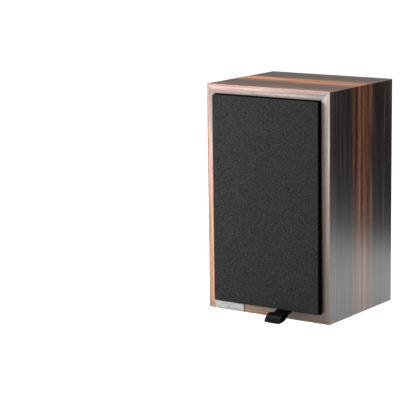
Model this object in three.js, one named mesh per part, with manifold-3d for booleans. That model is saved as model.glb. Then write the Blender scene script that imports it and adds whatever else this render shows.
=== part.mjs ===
// A two-way bookshelf speaker: veneered carcass, screwed baffle dressed with felt, 110 mm woofer,
// dome tweeter, rear binding posts, crossover, and a pull-off grille with a ribbon tab.
// Millimetres, +Z up. The origin is the centre of the cabinet's underside; the front faces -Y.
import * as THREE from 'three';
import { mergeVertices } from 'three/addons/utils/BufferGeometryUtils.js';
import Module from 'manifold-3d';

// ---------------------------------------------------------------- clearances
const gap = 0.3; // between pieces that only rest on or pass each other
const coilGap = 0.4; // each side of a voice coil in its magnet gap
const cutOverrun = 1; // how far a cutting block runs past the face it cuts

// ---------------------------------------------------------------- facets in a full turn
const fineTurn = 40; // rims and skins that show
const plainTurn = 24; // motor rings and other plain round pieces
const smallTurn = 12; // screws and their holes

// ---------------------------------------------------------------- carcass
const panelThickness = 12;
const cabinetDepth = 162;
const baffleSetback = 10.5; // lip front to baffle front
const baffleThickness = 12;
const baffleFit = 0.5; // baffle edge to carcass
const battenDepth = 12;
const sideBattenWidth = 12;
const endBattenHeight = 17;
const liningThickness = 10;
const liningToBatten = 1.5;

// ---------------------------------------------------------------- felt on the baffle
const feltThickness = 2.5;
const feltToLip = 1.5;
const sideFeltWidth = 17.5;
const bottomFeltHeight = 17.5;
const topFeltHeight = 18.3;
const sideFeltToPlate = 2.7;
const bottomFeltToPlate = 1.4;
const topFeltToSurround = 1.0;

// ---------------------------------------------------------------- tweeter and its felt surround
const tweeterPlateSize = 101;
const tweeterPlateThickness = 2.5;
const feltCoverSide = 3.1; // how far the felt square covers the plate's edge
const feltCoverTop = 6.75;
const feltCoverBottom = 10.75;
const feltPastSide = 9.8; // how far the felt square stands past the plate's edge
const feltPastTop = 5;
const feltPastBottom = 1;
const feltToCloth = 1; // felt square to the inside of the grille cloth
const plateToFeltFrame = 0.4;
const cornerCut = 25; // leg of the triangle cut off each corner
const cornerStep = 0.8;
const faceRingOuter = 28;
const faceRingInner = 23;
const faceRingHeight = 0.6;
const domeRadius = 14;
const domeRise = 4.5;
const domeSetback = 1.5; // dome edge behind the plate's face
const domeSkin = 0.5;
const tweeterCoilLength = 9;
const tweeterTopPlateRadius = 34.5;
const tweeterTopPlateThickness = 4;
const tweeterMagnetRadius = 32;
const tweeterMagnetThickness = 12;
const tweeterYokeRadius = 30;
const tweeterYokeThickness = 5;
const tweeterScrewFromSide = 9.6;
const tweeterScrewFromBottom = 27;

// ---------------------------------------------------------------- woofer
const wooferPlateWidth = 122.6;
const wooferPlateHeight = 132.4;
const wooferPlateThickness = 2.5;
const basketToPlateEdge = 1.5;
const basketRimWall = 1.05;
const surroundSeatDepth = 9.3; // plate face to the ledge that holds the surround
const surroundSeatWidth = 3.2;
const basketSkin = 2;
const basketFloorRadius = 35;
const basketFloorHole = 16;
const spiderBehindNeck = 3.1; // cone's neck to the ledge that holds the spider
const spiderSeatWidth = 4;
const basketFloorDepth = 7.4; // spider's ledge to the back of the basket
const basketLegs = 8;
const basketWindowWidth = 20;
const basketWindowMargin = 2.6; // solid rim before and after each window
const rollRadius = 5.8;
const surroundSkin = 0.8;
const surroundFlange = 2;
const surroundDrop = 4; // outer flange to inner flange
const coneSkin = 0.6;
const coneLip = 2;
const coneNeckDepth = 41.5; // plate face to the cone's neck
const coneFlare = 1.7; // how far the curve's middle point leans in and forward
const dustCapRadius = 17.6;
const dustCapRing = 3.6;
const dustCapRise = 5;
const dustCapSkin = 0.5;
const coilRadius = 13; // outside of the voice coil former
const coilWall = 0.4;
const coilLength = 20;
const coilFromNeck = 3.5; // how far the former stands forward of the cone's neck
const spiderSkin = 0.6;
const spiderWave = 1.2;
const spiderWaves = 2;
const wooferTopPlateRadius = 40;
const wooferTopPlateThickness = 5;
const wooferMagnetRadius = 45;
const wooferMagnetHole = 18;
const wooferMagnetThickness = 15;
const wooferYokeRadius = 38;
const wooferYokeThickness = 5;
const wooferScrewFromSide = 14.1;
const wooferScrewFromEnd = 18.9;

// ---------------------------------------------------------------- fasteners
const baffleScrewSpread = 47.2; // half the distance between the screws of one end row
const sideScrewHeights = [72.8, 200.3]; // above the cabinet's inner floor
const screwShank = 1.9;
const cupWasherRadius = 3.1;
const cupWasherHeight = 1.8;
const baffleScrewLength = 22;
const wooferScrewLength = 11;
const wooferWasherRadius = 4.2;
const wooferWasherHeight = 0.9;
const tweeterHeadRadius = 3.2;
const tweeterHeadHeight = 2.2;
const tweeterScrewLength = 11;

// ---------------------------------------------------------------- grille
const grilleProud = 8; // cloth front to lip front
const grilleToLip = 1;
const grilleFrameWidth = 11.4;
const clothThickness = 1;
const clothWrap = 0.6; // cloth turned round the frame's outer edges
const grilleCornerRadius = 3.5;
const ribbonWidth = 23;
const ribbonX = 30;
const ribbonThickness = 0.7;
const ribbonTuck = 12; // length held between the grille and the lip
const ribbonReach = 30; // from the grille's face to the front of the fold
const ribbonFoldRise = 5.1; // half the height of the fold
const ribbonFloorGap = 2;

// ---------------------------------------------------------------- plate on the lip
const badgeWidth = 46.3;
const badgeHeight = 10.1;
const badgeThickness = 0.8;
const badgeFromSide = 10;
const badgeFromBottom = 0.7;

// ---------------------------------------------------------------- rear terminals and crossover
const terminalHeight = 70;
const terminalSpacing = 19;
const terminalPlateWidth = 60;
const terminalPlateHeight = 44;
const terminalPlateThickness = 1.5;
const terminalPlateCorner = 5;
const collarRadius = 6.2;
const collarHeight = 2.5;
const studRadius = 2;
const nutRadius = 4;
const nutHeight = 6;
const studTail = 4; // stud beyond the circuit board
const clampRadius = 5.6;
const clampHeight = 1.2;
const knobRadius = 6.4;
const knobLength = 15;
const knobFlutes = 12;
const knobFluteDepth = 0.6;
const knobRoof = 2; // solid end of the knob, beyond its bore
const knobEdge = 1;
const boardWidth = 90;
const boardHeight = 80;
const boardThickness = 1.6;
const boardBelowTerminals = 25;
const inductorRadius = 17;
const inductorHole = 5;
const inductorHeight = 18;
const inductorOffset = [-22, 26]; // across and above the terminals
const capacitorRadius = 9;
const capacitorLength = 30;
const capacitorOffset = [22, 30];
const leadRadius = 1.5;
const leadBend = 12; // straight start before a lead turns
const leadAcross = 10; // tweeter lead's end, to the right of the tweeter's axis
const leadBelow = 14; // tweeter lead's end, below the tweeter's axis
const leadSag = 29; // woofer lead's lowest point, below its end

// ---------------------------------------------------------------- worked out: cabinet and baffle layout
const feltFrameHalfWidth = tweeterPlateSize / 2 + feltPastSide;
const widestHalf = Math.max(wooferPlateWidth / 2, feltFrameHalfWidth);
const innerHalfWidth = widestHalf + sideFeltToPlate + sideFeltWidth + feltToLip;
const cabinetWidth = 2 * (innerHalfWidth + panelThickness);
const innerFloor = panelThickness;
const bottomFeltTop = innerFloor + feltToLip + bottomFeltHeight;
const wooferPlateBottom = bottomFeltTop + bottomFeltToPlate;
const wooferPlateTop = wooferPlateBottom + wooferPlateHeight;
const wooferZ = (wooferPlateBottom + wooferPlateTop) / 2;
const feltFrameBottom = wooferPlateTop + plateToFeltFrame;
const tweeterPlateBottom = feltFrameBottom + feltPastBottom;
const tweeterPlateTop = tweeterPlateBottom + tweeterPlateSize;
const tweeterZ = (tweeterPlateBottom + tweeterPlateTop) / 2;
const feltFrameTop = tweeterPlateTop + feltPastTop;
const topFeltBottom = feltFrameTop + topFeltToSurround;
const innerRoof = topFeltBottom + topFeltHeight + feltToLip;
const cabinetHeight = innerRoof + panelThickness;
const halfWidth = cabinetWidth / 2;

const frontY = -cabinetDepth / 2;
const backY = cabinetDepth / 2;
const baffleY = frontY + baffleSetback;
const baffleBackY = baffleY + baffleThickness;
const battenBackY = baffleBackY + battenDepth;
const backPanelY = backY - panelThickness;
const feltY = baffleY - feltThickness;
const wooferY = baffleY - wooferPlateThickness;
const tweeterY = baffleY - tweeterPlateThickness;
const grilleY = frontY - grilleProud;
const grilleBackY = feltY - gap;
const clothBackY = grilleY + clothThickness;

const screwX = innerHalfWidth - sideBattenWidth / 2;
const screwTopZ = innerRoof - endBattenHeight / 2;
const screwBottomZ = innerFloor + endBattenHeight / 2;
const sideScrewZs = sideScrewHeights.map((height) => innerFloor + height);
const baffleScrews = [
  ['top_left', -baffleScrewSpread, screwTopZ],
  ['top_right', baffleScrewSpread, screwTopZ],
  ['bottom_left', -baffleScrewSpread, screwBottomZ],
  ['bottom_right', baffleScrewSpread, screwBottomZ],
  ['left_lower', -screwX, sideScrewZs[0]],
  ['left_upper', -screwX, sideScrewZs[1]],
  ['right_lower', screwX, sideScrewZs[0]],
  ['right_upper', screwX, sideScrewZs[1]],
];
const wooferScrewX = wooferPlateWidth / 2 - wooferScrewFromSide;
const wooferScrews = [
  ['upper_left', -wooferScrewX, wooferPlateTop - wooferScrewFromEnd],
  ['upper_right', wooferScrewX, wooferPlateTop - wooferScrewFromEnd],
  ['lower_left', -wooferScrewX, wooferPlateBottom + wooferScrewFromEnd],
  ['lower_right', wooferScrewX, wooferPlateBottom + wooferScrewFromEnd],
];
const tweeterScrewX = tweeterPlateSize / 2 - tweeterScrewFromSide;
const tweeterScrews = [
  ['left', -tweeterScrewX, tweeterPlateBottom + tweeterScrewFromBottom],
  ['right', tweeterScrewX, tweeterPlateBottom + tweeterScrewFromBottom],
];
const screwHole = screwShank + gap;
const basketRadius = Math.min(wooferPlateWidth, wooferPlateHeight) / 2 - basketToPlateEdge;

// ---------------------------------------------------------------- materials
const finish = (color, roughness, metalness = 0) => ({ color, roughness, metalness });
const veneer = finish(0x3a2f2b, 0.45);
const birch = finish(0xc9ab7c, 0.7);
const blackBoard = finish(0x2b2c2e, 0.8);
const felt = finish(0x26262a, 0.95);
const greyEnamel = finish(0x6f7168, 0.5, 0.3);
const rubber = finish(0x1b1b1d, 0.5);
const glossCone = finish(0x141416, 0.2);
const darkCloth = finish(0x2b2c2c, 0.95);
const spiderCloth = finish(0x9c7a3c, 0.9);
const steel = finish(0x9a9a98, 0.35, 0.9);
const blackScrew = finish(0x1a1a1a, 0.4, 0.6);
const ferrite = finish(0x2e2e30, 0.7);
const brushed = finish(0xb9b9b6, 0.35, 0.9);
const brass = finish(0xb08d4a, 0.3, 0.9);
const redKnob = finish(0xa01818, 0.35);
const blackKnob = finish(0x151515, 0.35);
const circuitBoard = finish(0x2d5a34, 0.6);
const copper = finish(0xb4643a, 0.35, 0.9);
const ribbonSatin = finish(0x121212, 0.4);
const foam = finish(0x3b3b3d, 1.0);

// ---------------------------------------------------------------- helpers
const speaker = new THREE.Group();

function add(name, geometry, look) {
  const mesh = new THREE.Mesh(geometry, new THREE.MeshStandardMaterial(look));
  mesh.name = name;
  speaker.add(mesh);
  return mesh;
}

// A closed outline with its points counter-clockwise.
function outline(points) {
  const vectors = points.map(([u, v]) => new THREE.Vector2(u, v));
  return THREE.ShapeUtils.area(vectors) < 0 ? vectors.reverse() : vectors;
}

// A solid turned about an axis along Y: profile points are [radius, y].
function turned(profile, x, z, segments = plainTurn) {
  const points = outline(profile);
  const onAxis = points.findIndex((p, i) => p.x === 0 && points.at(i - 1).x === 0);
  const ordered = onAxis < 0 ? points : [...points.slice(onAxis), ...points.slice(0, onAxis)];
  if (onAxis < 0) ordered.push(ordered[0].clone());
  return new THREE.LatheGeometry(ordered, segments).translate(x, 0, z);
}

// A plate whose outline lies in X-Z, from frontFace to backFace along Y.
// Round holes in it get the given number of facets.
function plate(shape, frontFace, backFace, facets = smallTurn) {
  const curveSegments = facets / 2;
  const settings = { depth: backFace - frontFace, bevelEnabled: false, curveSegments };
  return new THREE.ExtrudeGeometry(shape, settings).rotateX(Math.PI / 2).translate(0, backFace, 0);
}

function box(x0, x1, y0, y1, z0, z1) {
  const middle = [(x0 + x1) / 2, (y0 + y1) / 2, (z0 + z1) / 2];
  return new THREE.BoxGeometry(x1 - x0, y1 - y0, z1 - z0).translate(...middle);
}

function rectangle(x0, x1, z0, z1, corner = 0) {
  const shape = new THREE.Shape();
  if (corner === 0) {
    return shape.moveTo(x0, z0).lineTo(x1, z0).lineTo(x1, z1).lineTo(x0, z1).closePath();
  }
  const turn = Math.PI / 2;
  shape.moveTo(x0 + corner, z0).lineTo(x1 - corner, z0);
  shape.absarc(x1 - corner, z0 + corner, corner, -turn, 0).lineTo(x1, z1 - corner);
  shape.absarc(x1 - corner, z1 - corner, corner, 0, turn).lineTo(x0 + corner, z1);
  shape.absarc(x0 + corner, z1 - corner, corner, turn, 2 * turn).lineTo(x0, z0 + corner);
  shape.absarc(x0 + corner, z0 + corner, corner, 2 * turn, 3 * turn);
  return shape;
}

function withHoles(shape, holes) {
  for (const [x, z, radius] of holes) {
    const hole = new THREE.Path();
    hole.absarc(x, z, radius, 0, 2 * Math.PI, true);
    shape.holes.push(hole);
  }
  return shape;
}

// The closed outline of a thin skin that follows a line of [u, v] points.
function skin(line, thickness) {
  const points = line.map(([u, v]) => new THREE.Vector2(u, v));
  const directions = points.slice(1).map((p, i) => p.clone().sub(points[i]).normalize());
  const offsets = points.map((p, i) => {
    const before = directions[Math.max(i - 1, 0)];
    const after = directions[Math.min(i, directions.length - 1)];
    const along = before.clone().add(after).normalize();
    const reach = thickness / 2 / Math.max(along.dot(before), 0.5);
    return new THREE.Vector2(-along.y, along.x).multiplyScalar(reach);
  });
  const oneSide = points.map((p, i) => p.clone().add(offsets[i]).toArray());
  const otherSide = points.map((p, i) => p.clone().sub(offsets[i]).toArray());
  return [...oneSide, ...otherSide.reverse()];
}

const wasm = await Module();
wasm.setup();

function solid(geometry) {
  const bare = new THREE.BufferGeometry();
  const flat = geometry.index ? geometry.toNonIndexed() : geometry;
  bare.setAttribute('position', flat.getAttribute('position'));
  const merged = mergeVertices(bare, 1e-3);
  const vertProperties = new Float32Array(merged.attributes.position.array);
  const triVerts = new Uint32Array(merged.index.array);
  return new wasm.Manifold(new wasm.Mesh({ numProp: 3, vertProperties, triVerts }));
}

function surface(made) {
  const mesh = made.getMesh();
  const geometry = new THREE.BufferGeometry();
  geometry.setAttribute('position', new THREE.BufferAttribute(mesh.vertProperties, 3));
  geometry.setIndex(new THREE.BufferAttribute(mesh.triVerts, 1));
  geometry.computeVertexNormals();
  return geometry;
}

// A round cutter along Y that runs past both faces it goes through.
function drill(x, z, radius, frontFace, backFace, segments = smallTurn) {
  const [start, end] = [frontFace - cutOverrun, backFace + cutOverrun];
  return turned([[0, start], [radius, start], [radius, end], [0, end]], x, z, segments);
}

function joined(...geometries) {
  return surface(geometries.map(solid).reduce((whole, piece) => whole.add(piece)));
}

function cut(geometry, ...cutters) {
  return surface(cutters.map(solid).reduce((whole, piece) => whole.subtract(piece), solid(geometry)));
}

// ---------------------------------------------------------------- carcass
// A carcass panel, mitred at both ends: its outline in X-Z runs the full cabinet depth.
function mitredPanel(name, points) {
  add(name, plate(new THREE.Shape(outline(points)), frontY, backY), veneer);
}

function makeCarcass() {
  const [w, h] = [halfWidth, cabinetHeight];
  const [iw, floor, roof] = [innerHalfWidth, innerFloor, innerRoof];
  mitredPanel('panel_top', [[-iw, roof], [iw, roof], [w, h], [-w, h]]);
  mitredPanel('panel_bottom', [[-w, 0], [w, 0], [iw, floor], [-iw, floor]]);
  mitredPanel('panel_left', [[-w, 0], [-iw, floor], [-iw, roof], [-w, h]]);
  mitredPanel('panel_right', [[w, 0], [w, h], [iw, roof], [iw, floor]]);
}

// The battens behind the baffle take its screws; each has a pilot hole for every screw.
function batten(name, x0, x1, z0, z1) {
  const inside = ([, x, z]) => x > x0 && x < x1 && z > z0 && z < z1;
  const pilots = baffleScrews.filter(inside).map(([, x, z]) => [x, z, screwHole]);
  const shape = withHoles(rectangle(x0, x1, z0, z1), pilots);
  add(name, plate(shape, baffleBackY, battenBackY), birch);
}

function makeBattens() {
  const side = innerHalfWidth - sideBattenWidth;
  batten('batten_left', -innerHalfWidth, -side, innerFloor, innerRoof);
  batten('batten_right', side, innerHalfWidth, innerFloor, innerRoof);
  batten('batten_bottom', -side, side, innerFloor, innerFloor + endBattenHeight);
  batten('batten_top', -side, side, innerRoof - endBattenHeight, innerRoof);
}

function makeBaffle() {
  const edge = innerHalfWidth - baffleFit;
  const shape = rectangle(-edge, edge, innerFloor + baffleFit, innerRoof - baffleFit);
  withHoles(shape, [[0, wooferZ, basketRadius + gap], [0, tweeterZ, tweeterTopPlateRadius + gap]]);
  const board = plate(shape, baffleY, baffleBackY, fineTurn);
  const screws = [...baffleScrews, ...wooferScrews, ...tweeterScrews];
  const drills = screws.map(([, x, z]) => drill(x, z, screwHole, baffleY, baffleBackY));
  add('baffle', cut(board, ...drills), blackBoard);
}

function makeBackPanel() {
  const studs = [-1, 1].map((side) => [side * terminalSpacing / 2, terminalHeight, studRadius + gap]);
  const shape = rectangle(-innerHalfWidth, innerHalfWidth, innerFloor, innerRoof);
  add('back_panel', plate(withHoles(shape, studs), backPanelY, backY), veneer);
}

// Foam on the inside of both side panels and the roof, as one folded sheet.
function makeLining() {
  const [out, inner] = [innerHalfWidth, innerHalfWidth - liningThickness];
  const under = innerRoof - liningThickness;
  const shape = new THREE.Shape(outline([
    [-out, innerFloor], [-inner, innerFloor], [-inner, under], [inner, under],
    [inner, innerFloor], [out, innerFloor], [out, innerRoof], [-out, innerRoof],
  ]));
  add('foam_lining', plate(shape, battenBackY + liningToBatten, backPanelY), foam);
}

function makeBadge() {
  const x0 = -halfWidth + badgeFromSide;
  const z0 = badgeFromBottom;
  const body = box(x0, x0 + badgeWidth, frontY - badgeThickness, frontY, z0, z0 + badgeHeight);
  add('badge_plate', body, brushed);
}

// ---------------------------------------------------------------- felt
function feltStrip(name, x0, x1, z0, z1) {
  const inside = ([, x, z]) => x > x0 && x < x1 && z > z0 && z < z1;
  const holes = baffleScrews.filter(inside).map(([, x, z]) => [x, z, cupWasherRadius + gap]);
  add(name, plate(withHoles(rectangle(x0, x1, z0, z1), holes), feltY, baffleY), felt);
}

function makeFelt() {
  const out = innerHalfWidth - feltToLip;
  const inner = out - sideFeltWidth;
  const seam = gap;
  feltStrip('felt_top', -out, out, topFeltBottom, topFeltBottom + topFeltHeight);
  feltStrip('felt_bottom', -out, out, innerFloor + feltToLip, bottomFeltTop);
  feltStrip('felt_left', -out, -inner, bottomFeltTop + seam, topFeltBottom - seam);
  feltStrip('felt_right', inner, out, bottomFeltTop + seam, topFeltBottom - seam);
}

// The deep felt square round the tweeter, rebated at the back for the tweeter's plate.
function makeTweeterFelt() {
  const shape = rectangle(-feltFrameHalfWidth, feltFrameHalfWidth, feltFrameBottom, feltFrameTop);
  const opening = tweeterPlateSize / 2 - feltCoverSide;
  const [sill, head] = [tweeterPlateBottom + feltCoverBottom, tweeterPlateTop - feltCoverTop];
  shape.holes.push(rectangle(-opening, opening, sill, head));
  const pocket = tweeterPlateSize / 2 + gap;
  const [low, high] = [tweeterZ - pocket, tweeterZ + pocket];
  const rebate = box(-pocket, pocket, tweeterY - gap, baffleY + cutOverrun, low, high);
  const block = plate(shape, clothBackY + feltToCloth, baffleY);
  add('tweeter_felt_frame', cut(block, rebate), felt);
}

// ---------------------------------------------------------------- tweeter
function makeTweeterPlate() {
  const half = tweeterPlateSize / 2;
  const faces = withHoles(rectangle(-half, half, -half, half), [[0, 0, domeRadius + gap]]);
  const body = plate(faces, tweeterY, baffleY, plainTurn);
  const ring = turned([
    [faceRingInner, tweeterY + tweeterPlateThickness / 2], [faceRingInner, tweeterY - faceRingHeight],
    [faceRingOuter, tweeterY - faceRingHeight], [faceRingOuter, tweeterY + tweeterPlateThickness / 2],
  ], 0, 0, fineTurn);
  const far = half + cutOverrun;
  const cornerBlocks = [[1, 1], [1, -1], [-1, 1], [-1, -1]].map(([sx, sz]) => {
    const start = 2 * half - cornerCut - far;
    const corner = [[start, far], [far, start], [far, far]];
    const shape = new THREE.Shape(outline(corner.map(([x, z]) => [sx * x, sz * z])));
    return plate(shape, tweeterY - cutOverrun, tweeterY + cornerStep);
  });
  const drills = tweeterScrews.map(([, x, z]) => drill(x, z - tweeterZ, screwHole, tweeterY, baffleY));
  const whole = cut(joined(body, ring), ...cornerBlocks, ...drills);
  add('tweeter_plate', whole.translate(0, 0, tweeterZ), greyEnamel);
}

// The dome and the former it is wound on, one light shell.
function makeDome() {
  const edgeY = tweeterY + domeSetback;
  const steps = 6;
  const line = [];
  for (let i = 0; i <= steps; i += 1) {
    const share = i / steps;
    const radius = (domeRadius - domeSkin) * Math.sin(share * Math.PI / 2);
    line.push([radius, edgeY - domeRise * Math.cos(share * Math.PI / 2)]);
  }
  const outside = line.map(([r, y]) => [r, y - domeSkin]);
  outside[steps] = [domeRadius, edgeY];
  const foot = edgeY + tweeterCoilLength;
  const inside = line.slice().reverse();
  const profile = [...outside, [domeRadius, foot], [domeRadius - domeSkin, foot], ...inside];
  add('tweeter_dome', turned(profile, 0, tweeterZ), glossCone);
}

// A ring magnet between a top plate and a T-shaped yoke whose pole fills the coil.
function motor(name, x, z, sizes) {
  const { startY, poleTopY, topRadius, topThick, gapRadius, poleRadius } = sizes;
  const { magnetRadius, magnetHole, magnetThick, yokeRadius, yokeThick } = sizes;
  const magnetY = startY + topThick;
  const yokeY = magnetY + magnetThick;
  const ring = (inner, outer, y0, y1) => [[inner, y0], [outer, y0], [outer, y1], [inner, y1]];
  add(`${name}_top_plate`, turned(ring(gapRadius, topRadius, startY, magnetY), x, z), steel);
  add(`${name}_magnet`, turned(ring(magnetHole, magnetRadius, magnetY, yokeY), x, z), ferrite);
  const yoke = [
    [0, poleTopY], [poleRadius, poleTopY], [poleRadius, yokeY],
    [yokeRadius, yokeY], [yokeRadius, yokeY + yokeThick], [0, yokeY + yokeThick],
  ];
  add(`${name}_yoke`, turned(yoke, x, z), steel);
}

function makeTweeterMotor() {
  motor('tweeter', 0, tweeterZ, {
    startY: baffleY,
    poleTopY: baffleY,
    topRadius: tweeterTopPlateRadius,
    topThick: tweeterTopPlateThickness,
    gapRadius: domeRadius + coilGap,
    poleRadius: domeRadius - domeSkin - coilGap,
    magnetRadius: tweeterMagnetRadius,
    magnetHole: domeRadius + 2 * coilGap,
    magnetThick: tweeterMagnetThickness,
    yokeRadius: tweeterYokeRadius,
    yokeThick: tweeterYokeThickness,
  });
}

// ---------------------------------------------------------------- woofer
const seatY = wooferY + surroundSeatDepth;
const rimInner = basketRadius - basketRimWall;
const ledgeInner = rimInner - surroundSeatWidth;
const surroundY = seatY - gap - surroundSkin / 2;
const rollOuter = ledgeInner;
const rollInner = rollOuter - 2 * rollRadius;
const coneEdgeY = surroundY + surroundDrop;
const coneLipY = coneEdgeY + surroundSkin / 2 + gap + coneSkin / 2;
const neckRadius = coilRadius + coilGap + coneSkin / 2;
const neckY = wooferY + coneNeckDepth;
const spiderSeatY = neckY + spiderBehindNeck;
const basketBackY = spiderSeatY + basketFloorDepth;
const coneLine = coneProfile();

// The cone from its lip to its neck, as [radius, y] points down the middle of its skin.
function coneProfile() {
  const edge = rollInner - surroundSkin / 2;
  const lip = new THREE.Vector2(edge - coneLip, coneLipY);
  const neck = new THREE.Vector2(neckRadius, neckY);
  const middle = lip.clone().add(neck).multiplyScalar(0.5).subScalar(coneFlare);
  const curve = new THREE.QuadraticBezierCurve(lip, middle, neck);
  return [[edge, coneLipY], ...curve.getPoints(4).map((p) => p.toArray())];
}

// Where the cone's middle line has the given radius.
function coneYAt(radius) {
  const next = coneLine.findIndex(([r]) => r < radius);
  const [[r0, y0], [r1, y1]] = [coneLine[next - 1], coneLine[next]];
  return y0 + (y1 - y0) * (r0 - radius) / (r0 - r1);
}

function makeBasket() {
  const halfPlate = wooferPlateWidth / 2;
  const face = rectangle(-halfPlate, halfPlate, wooferPlateBottom, wooferPlateTop);
  withHoles(face, [[0, wooferZ, basketRadius - basketRimWall / 2]]);
  const front = plate(face, wooferY, baffleY, fineTurn);
  const ledgeBack = seatY + basketSkin;
  const wallStartY = spiderSeatY - basketSkin * 2;
  const spiderInner = basketFloorRadius - spiderSeatWidth;
  const profile = [
    [basketRadius, wooferY], [rimInner, wooferY], [rimInner, seatY], [ledgeInner, seatY],
    [ledgeInner, ledgeBack], [basketFloorRadius, wallStartY],
    [basketFloorRadius, spiderSeatY], [spiderInner, spiderSeatY],
    [spiderInner, basketBackY - basketSkin], [basketFloorHole, basketBackY - basketSkin],
    [basketFloorHole, basketBackY], [spiderInner + basketSkin, basketBackY],
    [spiderInner + basketSkin, spiderSeatY + basketSkin],
    [basketFloorRadius + basketSkin, spiderSeatY + basketSkin],
    [basketFloorRadius + basketSkin, wallStartY],
    [ledgeInner + basketSkin, ledgeBack + basketSkin], [basketRadius, ledgeBack + basketSkin],
  ];
  const bowl = turned(profile, 0, wooferZ, fineTurn);
  const windowFrom = basketFloorRadius - cutOverrun;
  const windows = [];
  for (let leg = 0; leg < basketLegs; leg += 1) {
    const halfWindow = basketWindowWidth / 2;
    const startY = ledgeBack + basketSkin + basketWindowMargin;
    const endY = wallStartY - basketWindowMargin;
    const block = box(windowFrom, basketRadius, startY, endY, -halfWindow, halfWindow);
    windows.push(block.rotateY((leg + 0.5) * 2 * Math.PI / basketLegs).translate(0, 0, wooferZ));
  }
  const drills = wooferScrews.map(([, x, z]) => drill(x, z, screwHole, wooferY, baffleY));
  add('woofer_basket', cut(joined(front, bowl), ...windows, ...drills), greyEnamel);
}

function makeSurround() {
  const steps = 7;
  const line = [[rimInner - gap, surroundY]];
  for (let i = 0; i <= steps; i += 1) {
    const angle = Math.PI * i / steps;
    const radius = (rollOuter + rollInner) / 2 + rollRadius * Math.cos(angle);
    line.push([radius, surroundY - rollRadius * Math.sin(angle)]);
  }
  line.push([rollInner - surroundSkin / 2, coneEdgeY], [rollInner - surroundFlange, coneEdgeY]);
  add('woofer_surround', turned(skin(line, surroundSkin), 0, wooferZ, fineTurn), rubber);
}

function makeCone() {
  add('woofer_cone', turned(skin(coneLine, coneSkin), 0, wooferZ, fineTurn), glossCone);
}

function makeDustCap() {
  const ringY = coneYAt(dustCapRadius) - coneSkin - gap - dustCapSkin;
  const domeEdge = dustCapRadius - dustCapRing;
  const steps = 5;
  const front = [];
  for (let i = 0; i <= steps; i += 1) {
    const angle = i / steps * Math.PI / 2;
    front.push([domeEdge * Math.sin(angle), ringY - dustCapRise * Math.cos(angle)]);
  }
  const back = front.map(([r, y]) => [r, y + dustCapSkin]).reverse();
  const profile = [...front, [dustCapRadius, ringY], [dustCapRadius, ringY + dustCapSkin], ...back];
  add('woofer_dust_cap', turned(profile, 0, wooferZ), glossCone);
}

function makeCoil() {
  const startY = neckY - coilFromNeck;
  const inner = coilRadius - coilWall;
  const profile = [
    [inner, startY], [coilRadius, startY], [coilRadius, startY + coilLength], [inner, startY + coilLength],
  ];
  add('woofer_voice_coil', turned(profile, 0, wooferZ), copper);
}

function makeSpider() {
  const [inner, outer] = [coilRadius + coilGap, basketFloorRadius - gap];
  const flatInner = basketFloorRadius - spiderSeatWidth;
  const y = spiderSeatY - gap - spiderSkin / 2;
  const line = [[inner, y]];
  const steps = spiderWaves * 4; // a rise, a crossing, a fall and a crossing in each wave
  for (let i = 1; i < steps; i += 1) {
    const share = i / steps;
    const rise = spiderWave * Math.sin(share * spiderWaves * 2 * Math.PI);
    line.push([inner + (flatInner - inner) * share, y + rise]);
  }
  line.push([flatInner, y], [outer, y]);
  add('woofer_spider', turned(skin(line, spiderSkin), 0, wooferZ), spiderCloth);
}

function makeWooferMotor() {
  motor('woofer', 0, wooferZ, {
    startY: basketBackY,
    poleTopY: basketBackY,
    topRadius: wooferTopPlateRadius,
    topThick: wooferTopPlateThickness,
    gapRadius: coilRadius + coilGap,
    poleRadius: coilRadius - coilWall - coilGap,
    magnetRadius: wooferMagnetRadius,
    magnetHole: wooferMagnetHole,
    magnetThick: wooferMagnetThickness,
    yokeRadius: wooferYokeRadius,
    yokeThick: wooferYokeThickness,
  });
}

// ---------------------------------------------------------------- fasteners
// A screw along Y: a head or washer whose underside is at seat, and a pointed shank behind it.
function screw(name, x, z, { seat, headRadius, headHeight, length, look }) {
  const tip = seat + length;
  const bevel = headHeight / 2;
  const profile = [
    [0, seat - headHeight], [headRadius - bevel, seat - headHeight],
    [headRadius, seat - bevel], [headRadius, seat],
    [screwShank, seat], [screwShank, tip - screwShank * 2], [0, tip],
  ];
  add(name, turned(profile, x, z, smallTurn), look);
}

function makeScrews() {
  const baffleKind = {
    seat: baffleY, headRadius: cupWasherRadius, headHeight: cupWasherHeight,
    length: baffleScrewLength, look: steel,
  };
  const wooferKind = {
    seat: wooferY, headRadius: wooferWasherRadius, headHeight: wooferWasherHeight,
    length: wooferScrewLength, look: steel,
  };
  const tweeterKind = {
    seat: tweeterY, headRadius: tweeterHeadRadius, headHeight: tweeterHeadHeight,
    length: tweeterScrewLength, look: blackScrew,
  };
  for (const [place, x, z] of baffleScrews) screw(`baffle_screw_${place}`, x, z, baffleKind);
  for (const [place, x, z] of wooferScrews) screw(`woofer_screw_${place}`, x, z, wooferKind);
  for (const [place, x, z] of tweeterScrews) screw(`tweeter_screw_${place}`, x, z, tweeterKind);
}

// ---------------------------------------------------------------- grille
const clothHalf = innerHalfWidth - grilleToLip;
const clothBottom = innerFloor + grilleToLip;
const clothTop = innerRoof - grilleToLip;

function makeGrille() {
  const sheet = rectangle(-clothHalf, clothHalf, clothBottom, clothTop, grilleCornerRadius);
  add('grille_cloth', plate(sheet, grilleY, clothBackY), darkCloth);
  const out = clothHalf - clothWrap;
  const [low, high] = [clothBottom + clothWrap, clothTop - clothWrap];
  const corner = grilleCornerRadius - clothWrap;
  const ring = rectangle(-out, out, low, high, corner);
  const inner = out - grilleFrameWidth;
  ring.holes.push(rectangle(-inner, inner, low + grilleFrameWidth, high - grilleFrameWidth));
  add('grille_frame', plate(ring, clothBackY, grilleBackY), blackBoard);
}

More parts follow.
